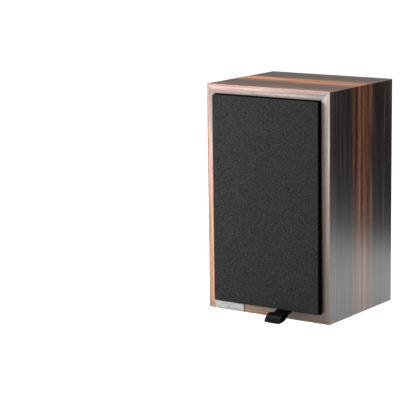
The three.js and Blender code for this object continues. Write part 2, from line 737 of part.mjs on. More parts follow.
// A folded ribbon: two strands that leave under the grille and meet in a round fold in front.
function makeRibbon() {
  const foldZ = ribbonFloorGap + ribbonThickness / 2 + ribbonFoldRise;
  const foldY = grilleY - ribbonReach + ribbonFoldRise;
  const rootZ = innerFloor + grilleToLip / 2;
  const strandGap = (ribbonThickness + gap) / 2;
  const upper = new THREE.CubicBezierCurve(
    new THREE.Vector2(grilleY, rootZ),
    new THREE.Vector2(grilleY - ribbonReach / 4, rootZ),
    new THREE.Vector2(foldY + ribbonReach / 3, foldZ + ribbonFoldRise),
    new THREE.Vector2(foldY, foldZ + ribbonFoldRise),
  );
  const lower = new THREE.CubicBezierCurve(
    new THREE.Vector2(foldY, foldZ - ribbonFoldRise),
    new THREE.Vector2(foldY + ribbonReach / 4, foldZ - ribbonFoldRise),
    new THREE.Vector2(grilleY - ribbonReach / 4, rootZ - 2 * strandGap - ribbonThickness),
    new THREE.Vector2(grilleY - ribbonThickness * 2, rootZ - 2 * strandGap),
  );
  const line = [[grilleY + ribbonTuck, rootZ], ...upper.getPoints(8).map((p) => p.toArray())];
  const steps = 8;
  for (let i = 1; i < steps; i += 1) {
    const angle = Math.PI / 2 + Math.PI * i / steps;
    line.push([foldY + ribbonFoldRise * Math.cos(angle), foldZ + ribbonFoldRise * Math.sin(angle)]);
  }
  line.push(...lower.getPoints(8).map((p) => p.toArray()));
  const shape = new THREE.Shape(outline(skin(line, ribbonThickness)));
  const settings = { depth: ribbonWidth, bevelEnabled: false };
  const strip = new THREE.ExtrudeGeometry(shape, settings);
  // The outline's axes become Y and Z, and the width runs along X.
  const turn = new THREE.Matrix4().makeBasis(
    new THREE.Vector3(0, 1, 0),
    new THREE.Vector3(0, 0, 1),
    new THREE.Vector3(1, 0, 0),
  );
  strip.applyMatrix4(turn).translate(ribbonX - ribbonWidth / 2, 0, 0);
  add('grille_tab', strip, ribbonSatin);
}

// ---------------------------------------------------------------- rear terminals
const terminalPlateY = backY + terminalPlateThickness;
const collarY = terminalPlateY + collarHeight;
const clampY = collarY + gap;
const knobY = clampY + clampHeight + gap;
const knobEndY = knobY + knobLength;
const studEndY = knobEndY - knobRoof - gap;

function makeTerminalPlate() {
  const [halfW, halfH] = [terminalPlateWidth / 2, terminalPlateHeight / 2];
  const [low, high] = [terminalHeight - halfH, terminalHeight + halfH];
  const holes = [-1, 1].map((side) => [side * terminalSpacing / 2, terminalHeight, studRadius + gap]);
  const shape = withHoles(rectangle(-halfW, halfW, low, high, terminalPlateCorner), holes);
  add('terminal_plate', plate(shape, backY, terminalPlateY), blackBoard);
}

function fluted(radius, depth, flutes) {
  const points = [];
  const steps = flutes * 4;
  for (let i = 0; i < steps; i += 1) {
    const angle = 2 * Math.PI * i / steps;
    const reach = radius - depth * (1 - Math.cos(flutes * angle)) / 2;
    points.push([reach * Math.cos(angle), reach * Math.sin(angle)]);
  }
  return points;
}

function bindingPost(side, x, knobLook) {
  const boardY = backPanelY - nutHeight;
  const tailY = boardY - gap - boardThickness - studTail;
  const post = [
    [0, tailY], [studRadius, tailY], [studRadius, boardY], [nutRadius, boardY], [nutRadius, backPanelY],
    [studRadius, backPanelY], [studRadius, terminalPlateY], [collarRadius, terminalPlateY],
    [collarRadius, collarY], [studRadius, collarY], [studRadius, studEndY], [0, studEndY],
  ];
  add(`terminal_post_${side}`, turned(post, x, terminalHeight, smallTurn), brass);
  const bore = studRadius + gap;
  const clamp = [
    [bore, clampY], [clampRadius, clampY], [clampRadius, clampY + clampHeight], [bore, clampY + clampHeight],
  ];
  add(`terminal_clamp_${side}`, turned(clamp, x, terminalHeight), brass);
  const edge = fluted(knobRadius, knobFluteDepth, knobFlutes);
  const body = plate(new THREE.Shape(outline(edge)), knobY, knobEndY - knobEdge);
  const crown = turned([
    [0, knobEndY - knobEdge - cutOverrun], [knobRadius - knobFluteDepth, knobEndY - knobEdge - cutOverrun],
    [knobRadius - knobFluteDepth, knobEndY - knobEdge], [knobRadius - knobFluteDepth - knobEdge, knobEndY],
    [0, knobEndY],
  ], 0, 0);
  const hollow = drill(0, 0, bore, knobY, knobEndY - knobRoof - cutOverrun);
  const knob = cut(joined(body, crown), hollow).translate(x, 0, terminalHeight);
  add(`terminal_knob_${side}`, knob, knobLook);
}

function makeTerminals() {
  makeTerminalPlate();
  bindingPost('red', -terminalSpacing / 2, redKnob);
  bindingPost('black', terminalSpacing / 2, blackKnob);
}

// ---------------------------------------------------------------- crossover and leads
const boardBackY = backPanelY - nutHeight - gap;
const boardY = boardBackY - boardThickness;
const boardBottom = terminalHeight - boardBelowTerminals;

function makeCrossover() {
  const halfBoard = boardWidth / 2;
  const holes = [-1, 1].map((side) => [side * terminalSpacing / 2, terminalHeight, studRadius + gap]);
  const sheet = rectangle(-halfBoard, halfBoard, boardBottom, boardBottom + boardHeight);
  add('crossover_board', plate(withHoles(sheet, holes), boardY, boardBackY), circuitBoard);
  const [coilX, coilUp] = inductorOffset;
  const coilBackY = boardY - gap;
  add('inductor', turned([
    [inductorHole, coilBackY - inductorHeight], [inductorRadius, coilBackY - inductorHeight],
    [inductorRadius, coilBackY], [inductorHole, coilBackY],
  ], coilX, terminalHeight + coilUp), copper);
  const [capX, capUp] = capacitorOffset;
  const can = new THREE.CylinderGeometry(capacitorRadius, capacitorRadius, capacitorLength, plainTurn);
  can.rotateZ(Math.PI / 2).translate(capX, boardY - gap - capacitorRadius, terminalHeight + capUp);
  add('capacitor', can, redKnob);
}

function lead(name, points) {
  const route = new THREE.CatmullRomCurve3(points.map((p) => new THREE.Vector3(...p)));
  const section = new THREE.Shape();
  section.absarc(0, 0, leadRadius, 0, 2 * Math.PI);
  const settings = { steps: 22, bevelEnabled: false, extrudePath: route, curveSegments: 4 };
  add(name, new THREE.ExtrudeGeometry(section, settings), blackKnob);
}

// Each lead runs from the crossover board to the back of its driver, and both ends are held.
function makeLeads() {
  const startY = boardY - gap;
  const yokeBackY = baffleY + tweeterTopPlateThickness + tweeterMagnetThickness + tweeterYokeThickness;
  const endY = yokeBackY + gap;
  const endZ = tweeterZ - leadBelow;
  const top = boardBottom + boardHeight - 3 * leadRadius;
  const [turnY, turnZ] = [(startY - leadBend + endY + leadBend) / 2, (top + endZ) / 2];
  lead('tweeter_lead', [
    [0, startY, top], [0, startY - leadBend, top + leadRadius], [leadAcross / 2, turnY + leadBend, turnZ],
    [leadAcross, endY + leadBend, endZ - leadRadius], [leadAcross, endY, endZ],
  ]);
  const tagY = (spiderSeatY + basketBackY) / 2;
  const tagZ = wooferZ - basketFloorRadius - gap;
  const startZ = boardBottom + leadBend / 2;
  lead('woofer_lead', [
    [0, startY, startZ], [0, startY - leadBend, startZ - leadRadius],
    [0, (startY + tagY) / 2, tagZ - leadSag], [0, tagY, tagZ - leadSag + leadBend / 2],
    [0, tagY, tagZ - leadBend / 2], [0, tagY, tagZ],
  ]);
}

makeCarcass();
makeBattens();
makeBaffle();
makeBackPanel();
makeLining();
makeBadge();
makeFelt();
makeTweeterFelt();
makeTweeterPlate();
makeDome();
makeTweeterMotor();
makeBasket();
makeSurround();
makeCone();
makeDustCap();
makeCoil();
makeSpider();
makeWooferMotor();
makeScrews();
makeGrille();
makeRibbon();
makeTerminals();
makeCrossover();
makeLeads();

export default speaker;
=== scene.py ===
# %% [markdown]
# # A small two-way bookshelf speaker
# The cabinet is a veneered box. A cloth grille pulls off its front, and under the grille a
# felt-lined baffle carries a small dome tweeter and a paper-cone woofer. Every position comes
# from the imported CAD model, the frame, so that the looks fit the parts that move.

# %% Load the frame
import math

import bmesh
import bpy
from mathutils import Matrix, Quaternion, Vector, noise


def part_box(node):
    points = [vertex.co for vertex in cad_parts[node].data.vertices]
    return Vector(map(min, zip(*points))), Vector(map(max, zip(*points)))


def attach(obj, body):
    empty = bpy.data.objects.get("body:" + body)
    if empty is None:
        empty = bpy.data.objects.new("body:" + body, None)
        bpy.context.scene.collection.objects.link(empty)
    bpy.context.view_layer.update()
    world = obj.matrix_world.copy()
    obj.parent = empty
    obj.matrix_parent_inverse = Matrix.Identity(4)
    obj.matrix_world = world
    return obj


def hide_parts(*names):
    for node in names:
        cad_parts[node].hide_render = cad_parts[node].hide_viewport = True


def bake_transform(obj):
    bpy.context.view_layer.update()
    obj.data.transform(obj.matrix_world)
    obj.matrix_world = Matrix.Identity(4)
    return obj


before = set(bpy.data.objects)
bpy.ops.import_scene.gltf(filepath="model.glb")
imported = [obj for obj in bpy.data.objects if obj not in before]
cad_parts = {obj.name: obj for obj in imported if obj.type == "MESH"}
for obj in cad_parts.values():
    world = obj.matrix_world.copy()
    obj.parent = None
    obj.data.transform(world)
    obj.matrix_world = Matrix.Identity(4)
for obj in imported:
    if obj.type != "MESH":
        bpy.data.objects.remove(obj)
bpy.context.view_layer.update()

MM = 0.001

# %% [markdown]
# ## Reading places off the frame
# A drawing of a speaker is in millimetres, and Blender works in metres. The helpers below read a
# node's box in millimetres, so that each piece can be drawn as on a workshop drawing, and the
# mesh is scaled once, when it is made.

# %% Node boxes in millimetres
def extent(node):
    """The lowest and highest corner of a CAD node, in millimetres."""
    low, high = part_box(node)
    return low / MM, high / MM


def centre(node):
    """The middle of a CAD node in X and Z, the plane of the baffle."""
    low, high = extent(node)
    return (low.x + high.x) / 2, (low.z + high.z) / 2


def half_width(node):
    """Half of a CAD node's width, which is a round one's radius."""
    low, high = extent(node)
    return (high.x - low.x) / 2


cabinet_low, cabinet_high = extent("panel_bottom")[0], extent("panel_top")[1]
lip = extent("panel_bottom")[1].z - cabinet_low.z
print("cabinet", [round(v, 1) for v in cabinet_high - cabinet_low], "mm, lip", round(lip, 1), "mm")

# %% [markdown]
# ## Colours and shader nodes
# Colours are written as the hex values that a colour picker shows. A shader works in linear
# light, so one function turns one into the other. A second one adds a node with its settings and
# links, which keeps each material as short as its recipe.

# %% Colour and node helpers
def linear(code):
    """An sRGB hex colour as linear RGBA."""
    shown = [int(code[i:i + 2], 16) / 255 for i in (1, 3, 5)]
    return [c / 12.92 if c <= 0.04045 else ((c + 0.055) / 1.055) ** 2.4 for c in shown] + [1]


def add(material, kind, inputs=(), stops=(), **settings):
    """Adds a shader node. Inputs go by name or number, and take a value, a socket or a node."""
    tree = material.node_tree
    node = tree.nodes.new("ShaderNode" + kind)
    for name, value in settings.items():
        setattr(node, name, value)
    for key, value in dict(inputs).items():
        named = (s for s in node.inputs if s.name == key and s.enabled)
        socket = node.inputs[key] if isinstance(key, int) else next(named)
        if isinstance(value, bpy.types.Node):
            value = next(s for s in value.outputs if s.enabled)
        if isinstance(value, bpy.types.NodeSocket):
            tree.links.new(value, socket)
        else:
            socket.default_value = value
    if stops:
        elements = node.color_ramp.elements
        while len(elements) < len(stops):
            elements.new(1)
        for element, (place, colour) in zip(elements, stops):
            element.position = place
            element.color = linear(colour) if isinstance(colour, str) else [colour] * 3 + [1]
    return node


# %% [markdown]
# The next helpers start a material from its typical values, link the last nodes to its shader,
# and measure a pattern in millimetres. Patterns use the piece's own coordinates, so they stay on
# the piece when it moves. The last one tells a front from a side, for stuffs that differ there.

# %% Material helpers
def shader_input(material, name):
    """A socket of the material's shader, named with _ for a space."""
    return material.node_tree.nodes["Principled BSDF"].inputs[name.replace("_", " ")]


def finish(name, **sockets):
    """A new material, with its shader's sockets set by name."""
    material = bpy.data.materials.new(name)
    material.use_nodes = True
    for key, value in sockets.items():
        shader_input(material, key).default_value = linear(value) if isinstance(value, str) else value
    return material


def wire(material, **nodes):
    """Links nodes to the shader's sockets."""
    for key, node in nodes.items():
        source = next(s for s in node.outputs if s.enabled)
        material.node_tree.links.new(source, shader_input(material, key))


def own_place(material):
    """A point's place in the piece's own coordinates, in metres."""
    return add(material, "TexCoord").outputs["Object"]


def scaled(material, *sizes):
    """The piece's own coordinates, divided by one size or by three, in millimetres."""
    sizes = sizes * 3 if len(sizes) == 1 else sizes
    return add(material, "Mapping", {"Vector": own_place(material), "Scale": [1 / (s * MM) for s in sizes]})


def facing(material):
    """Where a face looks along Y: -1 is forward, 0 is sideways."""
    normal = add(material, "NewGeometry").outputs["Normal"]
    return add(material, "SeparateXYZ", {"Vector": normal}).outputs["Y"]


# %% [markdown]
# ## The camera
# A long lens, far off to the right, keeps the cabinet's uprights nearly parallel. It stands a
# little above the cabinet, so that the top shows as a thin band.

# %% Camera
CAMERA_PLACE = Vector((1.2483, -1.9944, 0.5859))
CAMERA_TARGET = Vector((-0.1113, -0.0776, 0.1451))
CAMERA_ROLL = math.radians(-0.8)
LENS = 159.14


def aimed(name, data, place, target, roll=0.0):
    """A camera or a lamp that stands at a place and looks at a target, in metres."""
    holder = bpy.data.objects.new(name, data)
    holder.location = place
    holder.rotation_mode = "QUATERNION"
    aim = (Vector(target) - Vector(place)).to_track_quat("-Z", "Y")
    holder.rotation_quaternion = aim @ Quaternion((0, 0, 1), roll)
    bpy.context.scene.collection.objects.link(holder)
    return holder


camera = aimed("camera", bpy.data.cameras.new("camera"), CAMERA_PLACE, CAMERA_TARGET, CAMERA_ROLL)
camera.data.lens = LENS
bpy.context.scene.camera = camera
print("camera to cabinet:", round(CAMERA_PLACE.length, 2), "m")

# %% [markdown]
# ## The studio
# The speaker stands on a white table in a white room. The room is white only to the camera and
# to reflections. What lights the speaker is a dimmer, even sky and four soft lamps. The floor
# glows a little for the camera, so that it reads as white and still takes a soft shadow.

# %% World and floor
SKY = 0.05
FLOOR_HALF = 6


def seen_or_mirrored(holder):
    """1 for a ray that the camera sends, straight or by way of a mirror or glass."""
    path = add(holder, "LightPath").outputs
    direct = add(holder, "Math", {0: path["Is Camera Ray"], 1: path["Is Glossy Ray"]}, operation="MAXIMUM")
    return add(holder, "Math", {0: direct, 1: path["Is Transmission Ray"]}, operation="MAXIMUM")


def studio_sheet(name, corners, material):
    """A flat four-cornered sheet that belongs to the studio and not to the speaker."""
    mesh = bpy.data.meshes.new(name)
    mesh.from_pydata(corners, [], [(0, 1, 2, 3)])
    mesh.materials.append(material)
    sheet = bpy.data.objects.new(name, mesh)
    bpy.context.scene.collection.objects.link(sheet)
    return sheet


bpy.context.scene.view_settings.view_transform = "Standard"
world = bpy.data.worlds.new("white_room")
world.use_nodes = True
bpy.context.scene.world = world
backdrop = world.node_tree.nodes["Background"]
backdrop.inputs["Color"].default_value = (1, 1, 1, 1)
brightness = add(world, "MapRange", {"Value": seen_or_mirrored(world), "To Min": SKY, "To Max": 1.0})
world.node_tree.links.new(brightness.outputs[0], backdrop.inputs["Strength"])

# White laminate: matt, so that it takes a soft shadow and no highlight.
table_top = finish("white_table", Base_Color="#b0b0b0", Roughness=0.9, Specular_IOR_Level=0.1,
                   Emission_Color="#ffffff")
glow = add(table_top, "MapRange", {"Value": seen_or_mirrored(table_top), "To Min": 0.0, "To Max": 1.0})
wire(table_top, Emission_Strength=glow)
corners = [(x * FLOOR_HALF, y * FLOOR_HALF, 0) for x, y in ((-1, -1), (1, -1), (1, 1), (-1, 1))]
studio_sheet("floor", corners, table_top)
print("sky strength", SKY, "floor", 2 * FLOOR_HALF, "m wide")

# %% [markdown]
# ## The lamps
# A soft key stands to the left, close by, so that the left of the front is brighter than the
# right. A top light lifts the grain of the top panel, and a rim light from the right and behind
# lifts the side. Gloss doesn't mirror the key and the rim light, because the lacquered top would
# turn white where it does; a small low lamp, below the level of the top, gives the drivers their
# highlights. Two cards stand on the table behind the speaker, and only reflections see them. The
# lacquered side mirrors the white table in its lower half and the black card above it; the top
# mirrors the grey card.

# %% Lamps and cards
LAMP_TARGET = (0, 0, 0.15)
CARD_HEIGHT = 1.4


def soft_lamp(name, place, size, power, mirrored=True):
    """A round lamp, with its place and size in metres and its power in watts."""
    lamp = bpy.data.lights.new(name, "AREA")
    lamp.shape, lamp.size, lamp.energy = "DISK", size, power
    aimed(name, lamp, place, LAMP_TARGET).visible_glossy = mirrored


def card(name, x0, x1, y, strength):
    """An upright card that only reflections see."""
    paint = finish(name, Base_Color="#000000", Roughness=1.0, Specular_IOR_Level=0.0,
                   Emission_Color="#ffffff", Emission_Strength=strength)
    corners = [(x0, y, 0), (x1, y, 0), (x1, y, CARD_HEIGHT), (x0, y, CARD_HEIGHT)]
    sheet = studio_sheet(name, corners, paint)
    sheet.visible_camera = sheet.visible_diffuse = False
    sheet.visible_shadow = sheet.visible_transmission = False


soft_lamp("key_lamp", (-0.52, -0.6, 0.5), 0.42, 5.3, mirrored=False)
soft_lamp("gleam_lamp", (-0.76, -0.44, 0.19), 0.2, 0.8)
soft_lamp("top_lamp", (-0.2, 0.1, 1.5), 1.5, 25)
soft_lamp("rim_lamp", (1.3, 0.5, 0.6), 0.9, 7, mirrored=False)
card("black_card", 0.12, 1.6, 0.395, 0.0)
card("grey_card", -1.6, -0.12, 0.6, 0.15)
print("lamps:", len(bpy.data.lights))

# %% [markdown]
# ## Drawing solid pieces
# Each piece below starts as lists of points and faces in millimetres, because a profile or an
# outline says more about a turned or cut piece than a scaled primitive does. The first shaper
# turns a profile as a lathe does, and the second skins a row of closed loops.

# %% Lathe and skin
FINE = 96


def turned(profile, at, segments=FINE):
    """Points and faces of a closed (radius, y) profile, turned about an axis along Y."""
    x, z = at
    points, rows = [], []
    for radius, y in profile:
        if radius < 1e-6:
            rows.append([len(points)] * segments)
            points.append((x, y, z))
            continue
        rows.append(list(range(len(points), len(points) + segments)))
        for i in range(segments):
            angle = 2 * math.pi * i / segments
            points.append((x + radius * math.cos(angle), y, z + radius * math.sin(angle)))
    faces = []
    for row, after in zip(rows, rows[1:] + rows[:1]):
        for i in range(segments):
            j = (i + 1) % segments
            corners = list(dict.fromkeys((row[i], row[j], after[j], after[i])))
            if len(corners) > 2:
                faces.append(corners)
    return points, faces


def skinned(loops, closed=False):
    """Points and faces of a skin over closed loops with equal counts; open ends get a cap."""
    count = len(loops[0])
    points = [p for loop in loops for p in loop]
    faces = []
    for k in range(len(loops) if closed else len(loops) - 1):
        start, after = k * count, (k + 1) % len(loops) * count
        for i in range(count):
            j = (i + 1) % count
            faces.append([start + i, start + j, after + j, after + i])
    if not closed:
        faces += [list(range(count)), list(range(len(points) - count, len(points)))]
    return points, faces


# %% [markdown]
# A plate is cut from an outline and gets rounded edges, because a real edge always catches a
# thin highlight. Its faces are sorted, so that they come in the same order each time.

# %% Cut plate
def cut_plate(outline, y0, y1, edge=0.3, steps=2, place=lambda x, y, z: (x, y, z)):
    """A plate with its outline in X-Z, from y0 to y1, its edges rounded."""
    shape = bmesh.new()
    face = shape.faces.new([shape.verts.new((x, y0, z)) for x, z in outline])
    grown = bmesh.ops.extrude_face_region(shape, geom=[face])["geom"]
    tops = [v for v in grown if isinstance(v, bmesh.types.BMVert)]
    bmesh.ops.translate(shape, verts=tops, vec=(0, y1 - y0, 0))
    sharp = [e for e in shape.edges if e.calc_face_angle(0) > math.radians(30)]
    bmesh.ops.bevel(shape, geom=sharp, offset=edge, segments=steps, profile=0.5, affect="EDGES")
    shape.verts.index_update()
    points = [place(*v.co) for v in shape.verts]
    faces = []
    for face in shape.faces:
        corners = [v.index for v in face.verts]
        first = corners.index(min(corners))
        faces.append(corners[first:] + corners[:first])
    shape.free()
    return points, sorted(faces)


def rectangle(x0, x1, z0, z1):
    """An outline with four corners, counted round from the lower left."""
    return [(x0, z0), (x1, z0), (x1, z1), (x0, z1)]


# %% [markdown]
# Bent sheet and wire are drawn as a line that gets a thickness. Round parts of such a line are
# arcs, and where one height passes into another a smooth step leaves no crease.

# %% Thick line, arc and smooth step
def thick(line, thickness):
    """The closed outline of a skin that follows a line of points in a plane."""
    line = [Vector(p) for p in line]
    ways = [(b - a).normalized() for a, b in zip(line, line[1:])]
    sides = [[], []]
    for i, point in enumerate(line):
        before, after = ways[max(i - 1, 0)], ways[min(i, len(ways) - 1)]
        along = (before + after).normalized()
        reach = thickness / 2 / max(along.dot(before), 0.5)
        for side, sign in zip(sides, (1, -1)):
            side.append((point.x - sign * along.y * reach, point.y + sign * along.x * reach))
    return sides[0] + sides[1][::-1]


def arc(x, y, radius, start, end, steps):
    """Points on a circle from one angle to another, in degrees."""
    angles = [math.radians(start + (end - start) * i / steps) for i in range(steps + 1)]
    return [(x + radius * math.cos(a), y + radius * math.sin(a)) for a in angles]


def smoothstep(low, high, value):
    """0 below low, 1 above high, and a smooth rise between them."""
    share = min(max((value - low) / (high - low), 0), 1)
    return share * share * (3 - 2 * share)


# %% [markdown]
# One helper turns the lists into an object, scales it to metres, shades it smooth up to a crease
# angle, and lets it ride on its body. A second gives a material to CAD nodes whose own shape is
# right as it is, such as the panels and the magnets.

# %% Making the objects
def piece(name, parts, body="cabinet", stands_for=(), crease=35):
    """An object from (shape, material) parts in millimetres. It rides on its body."""
    mesh = bpy.data.meshes.new(name)
    points, faces, looks = [], [], []
    for (part_points, part_faces), material in parts:
        start = len(points)
        if material.name not in mesh.materials:
            mesh.materials.append(material)
        points += [Vector(p) * MM for p in part_points]
        faces += [[start + i for i in face] for face in part_faces]
        looks += [mesh.materials.find(material.name)] * len(part_faces)
    mesh.from_pydata(points, [], faces)
    mesh.polygons.foreach_set("material_index", looks)
    shell = bmesh.new()
    shell.from_mesh(mesh)
    bmesh.ops.recalc_face_normals(shell, faces=shell.faces)
    shell.to_mesh(mesh)
    shell.free()
    mesh.shade_smooth()
    mesh.set_sharp_from_angle(angle=math.radians(crease))
    made = bpy.data.objects.new(name, mesh)
    bpy.context.scene.collection.objects.link(made)
    if body:
        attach(made, body)
    if stands_for:
        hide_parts(*stands_for)
    return made


def dress(material, *nodes):
    """Gives CAD nodes a material; their shape is right as it is."""
    for name in nodes:
        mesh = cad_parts[name].data
        mesh.materials.clear()
        mesh.materials.append(material)


# %% [markdown]
# ## Ebony veneer
# The cabinet wears a striped ebony veneer: nearly black wood with one red-brown band where the
# heartwood was cut. The leaves are laid so that the band runs up the sides and across the top.
# An image of real veneer would be quick, but it would repeat and could not follow the edges. So
# the figure is stretched noise, short across the grain and long along it, over a colour ramp that
# lays the band at its place in millimetres. Real streaks are under a millimetre wide and pores a
# tenth of that; both are drawn coarser here, so that they show.

# %% Wood figure
# Each layer of grain: width and length in millimetres, noise detail, and how it darkens or lightens.
STREAKS = (2.4, 90, 2.0, [(0.34, 0.42), (0.5, 1.0), (0.66, 1.75)])
LINES = (5.0, 360, 2.0, [(0.38, 0.42), (0.5, 1.0), (0.62, 1.75)])
PORES = (0.8, 9, 1.0, [(0.3, 0.45), (0.46, 1.05)])
WANDER = (40, 260)


def figure(wood, axes, across, along, run, tones, drift, contrast):
    """Tones along one axis, under streaks, lines and pores; and a height for the open grain."""
    grain = add(wood, "CombineXYZ", {"X": axes[across], "Y": axes[along]})

    def stretched(width, length, detail=2.0):
        laid = add(wood, "Mapping", {"Vector": grain, "Scale": (1 / (width * MM), 1 / (length * MM), 1)})
        return add(wood, "TexNoise", {"Vector": laid, "Scale": 1.0, "Detail": detail})

    wander = add(wood, "MapRange", {"Value": stretched(*WANDER), "To Min": -drift * MM,
                                    "To Max": drift * MM})
    wandered = add(wood, "Math", {0: axes[run], 1: wander})
    first, last = tones[0][0], tones[-1][0]
    share = add(wood, "MapRange", {"Value": wandered, "From Min": first * MM, "From Max": last * MM})
    stops = [((at - first) / (last - first), tone) for at, tone in tones]
    tone = add(wood, "ValToRGB", {"Fac": share}, stops=stops)
    layers = [add(wood, "ValToRGB", {"Fac": stretched(*grain_size)}, stops=ramp)
              for *grain_size, ramp in (STREAKS, LINES, PORES)]
    for layer in layers:
        tone = add(wood, "Mix", {"Factor": contrast, "A": tone, "B": layer}, data_type="RGBA",
                   blend_type="MULTIPLY", clamp_result=False)
    relief = add(wood, "Math", {0: layers[0], 1: 0.6, 2: layers[2]}, operation="MULTIPLY_ADD")
    return tone, relief


print("veneer streaks", STREAKS[0], "mm wide, pores", PORES[0], "by", PORES[1], "mm")

# %% [markdown]
# Along the cabinet's front edges a pale line is painted on as a highlight, stronger near the top. A
# point lies on such an edge when it is close to two outer faces at once, so the helper below
# measures how deep a point lies in the cabinet along each axis.

# %% Painted edge highlights
# The painted edge highlight: its width in millimetres and its colour.
EDGE_WIDTH = 1.1
EDGE_HIGHLIGHT_COLOUR = "#deb2a0"


def depth_in(wood, axes, axis, low, high):
    """Depth below the cabinet's faces along an axis; along Y, below its front only."""
    away = add(wood, "Math", {0: axes[axis], 1: (low + high) / 2 * MM}, operation="SUBTRACT")
    distance = add(wood, "Math", {0: away, 1: -1.0}, operation="MULTIPLY" if axis == "Y" else "ABSOLUTE")
    return add(wood, "Math", {0: (high - low) / 2 * MM, 1: distance}, operation="SUBTRACT")


def painted_edge_highlight(wood, axes, depths):
    """How much painted highlight shows: some where two outer faces meet, more near the top."""
    near = [add(wood, "Math", {0: depth, 1: EDGE_WIDTH * MM}, operation="LESS_THAN") for depth in depths]
    faces = add(wood, "Math", {0: add(wood, "Math", {0: near[0], 1: near[1]}), 1: near[2]})
    strength = add(wood, "MapRange", {"Value": axes["Z"], "From Min": 0.19, "From Max": 0.29,
                                      "To Min": 0.1, "To Max": 0.45})
    return add(wood, "MapRange", {"Value": faces, "From Min": 1.0, "From Max": 2.0, "To Max": strength})


# %% [markdown]
# The front edges of the panels wear strips of paler wood, each with its grain along the edge, and
# toned along it with painted light and shade as well. The top strip has a painted cool reflection
# in its inner half. One function makes the veneer of any panel: satin lacquer over the figure, with
# the strips where a face looks forward. The lacquer gives broad, soft reflections, and the open
# grain under it breaks them up a little.

# %% Veneer
# Depths in millimetres over which the top strip's painted reflection fades in.
REFLECTION_DEPTHS = (4, 8)


def veneer(name, across, along, band, lip_across, lip_along, lip_tones_and_light, lip_reflection_tint="#ffffff"):
    """Striped veneer on the broad faces, and a paler strip on the front edge, toned along it with painted
    light and shade; a painted reflection on the top strip, and a painted highlight on the edges.
    """
    wood = finish(name, Roughness=0.34, IOR=1.5, Coat_Weight=0.9, Coat_Roughness=0.3, Coat_IOR=1.6)
    axes = add(wood, "SeparateXYZ", {"Vector": own_place(wood)}).outputs
    on_lip = add(wood, "Math", {0: facing(wood), 1: -0.5}, operation="LESS_THAN")
    broad, broad_pores = figure(wood, axes, across, along, across, band, 1.6, 1.0)
    edge, edge_pores = figure(wood, axes, lip_across, lip_along, lip_along, lip_tones_and_light, 4, 0.45)
    depths = {axis: depth_in(wood, axes, axis, low, high)
              for axis, low, high in zip("XYZ", cabinet_low, cabinet_high)}
    # The inner half of a strip is tinted by its painted reflection; only the top's tint is not white.
    inward = add(wood, "MapRange", {"Value": depths[lip_across], "From Min": REFLECTION_DEPTHS[0] * MM,
                                    "From Max": REFLECTION_DEPTHS[1] * MM})
    reflected_tint = add(wood, "Mix", {"Factor": 1.0, "A": edge, "B": linear(lip_reflection_tint)}, data_type="RGBA",
               blend_type="MULTIPLY")
    edge = add(wood, "Mix", {"Factor": inward, "A": edge, "B": reflected_tint}, data_type="RGBA")
    tone = add(wood, "Mix", {"Factor": on_lip, "A": broad, "B": edge}, data_type="RGBA")
    # A pale highlight is painted along the outer edges, stronger near the top.
    tone = add(wood, "Mix", {"Factor": painted_edge_highlight(wood, axes, list(depths.values())), "A": tone,
                             "B": linear(EDGE_HIGHLIGHT_COLOUR)}, data_type="RGBA")
    open_grain = add(wood, "Mix", {"Factor": on_lip, "A": broad_pores, "B": edge_pores}, data_type="RGBA")
    rounded = add(wood, "Bevel", {"Radius": 0.4 * MM}, samples=4)
    bump = add(wood, "Bump", {"Strength": 0.35, "Distance": 0.06 * MM, "Height": open_grain,
                              "Normal": rounded})
    wire(wood, Base_Color=tone, Normal=bump, Coat_Normal=bump)
    return wood


# %% [markdown]
# Each panel now gets its tones. A pair is a place in millimetres and the colour there: the band
# counts from the front to the back, and a strip counts along its own edge. The strips' tones hold
# painted light and shade besides the wood's colour. The top panel was cut from a redder part of the log.

# %% Tones of the panels
BAND = [(-81, "#3b3431"), (-64, "#35302e"), (-45, "#2f2b2a"), (-30, "#2c2827"), (-25, "#2e2725"),
        (-22, "#583c30"), (-18, "#5a3b2e"), (-14, "#3c2a24"), (-10, "#6d4635"), (-4, "#7a4e39"),
        (1, "#5c3b2d"), (5, "#855640"), (11, "#8b5940"), (15, "#553a2e"), (18, "#4b3228"), (22, "#6a4535"),
        (26, "#654235"), (29, "#4a332b"), (33, "#2d2828"), (46, "#292726"), (52, "#35302e"),
        (60, "#322e2d"), (70, "#3d3836"), (81, "#3e3836")]
TOP_BAND = [(-81, "#8a6250"), (-72, "#6c4837"), (-48, "#54382a"), (-34, "#432f24"), (-26, "#5a3a28"),
            (-18, "#8c583d"), (-14, "#74492f"), (-6, "#b47148"), (2, "#c27e4b"), (6, "#965f3e"),
            (12, "#c37d46"), (20, "#9c623d"), (26, "#5c3b29"), (32, "#573a2b"), (44, "#3f2e26"),
            (60, "#43332c"), (81, "#554035")]
BACK_BAND = [(at * 83 / 81, tone) for at, tone in BAND]
# The strips' tones are the wood's with painted light and shade: the top strip is lighter towards the key
# lamp at the left, the left strip has a painted shadow at its foot, the right strip has painted light near
# its top and is darker towards the bottom, and the bottom strip is darker towards the right, where the
# ribbon's shadow is painted.
LIP_LEFT_PAINTED_LIGHT = [(0, "#6e5546"), (6, "#a07a62"), (13, "#c98d64"), (50, "#c88e68"), (150, "#dba98d"),
            (260, "#bd9f93"), (305, "#bba198")]
LIP_TOP_PAINTED_LIGHT = [(-95, "#e4bcac"), (-60, "#e4baaa"), (0, "#e8c8ba"), (60, "#d5bab0"), (95, "#c6aba3")]
LIP_RIGHT_PAINTED_LIGHT = [(0, "#5c473d"), (50, "#634f46"), (150, "#9e8981"), (260, "#e0cfca"), (305, "#e1d1cc")]
LIP_BOTTOM_PAINTED_LIGHT = [(-95, "#ab7f64"), (-10, "#966850"), (60, "#582b15"), (95, "#4a2815")]

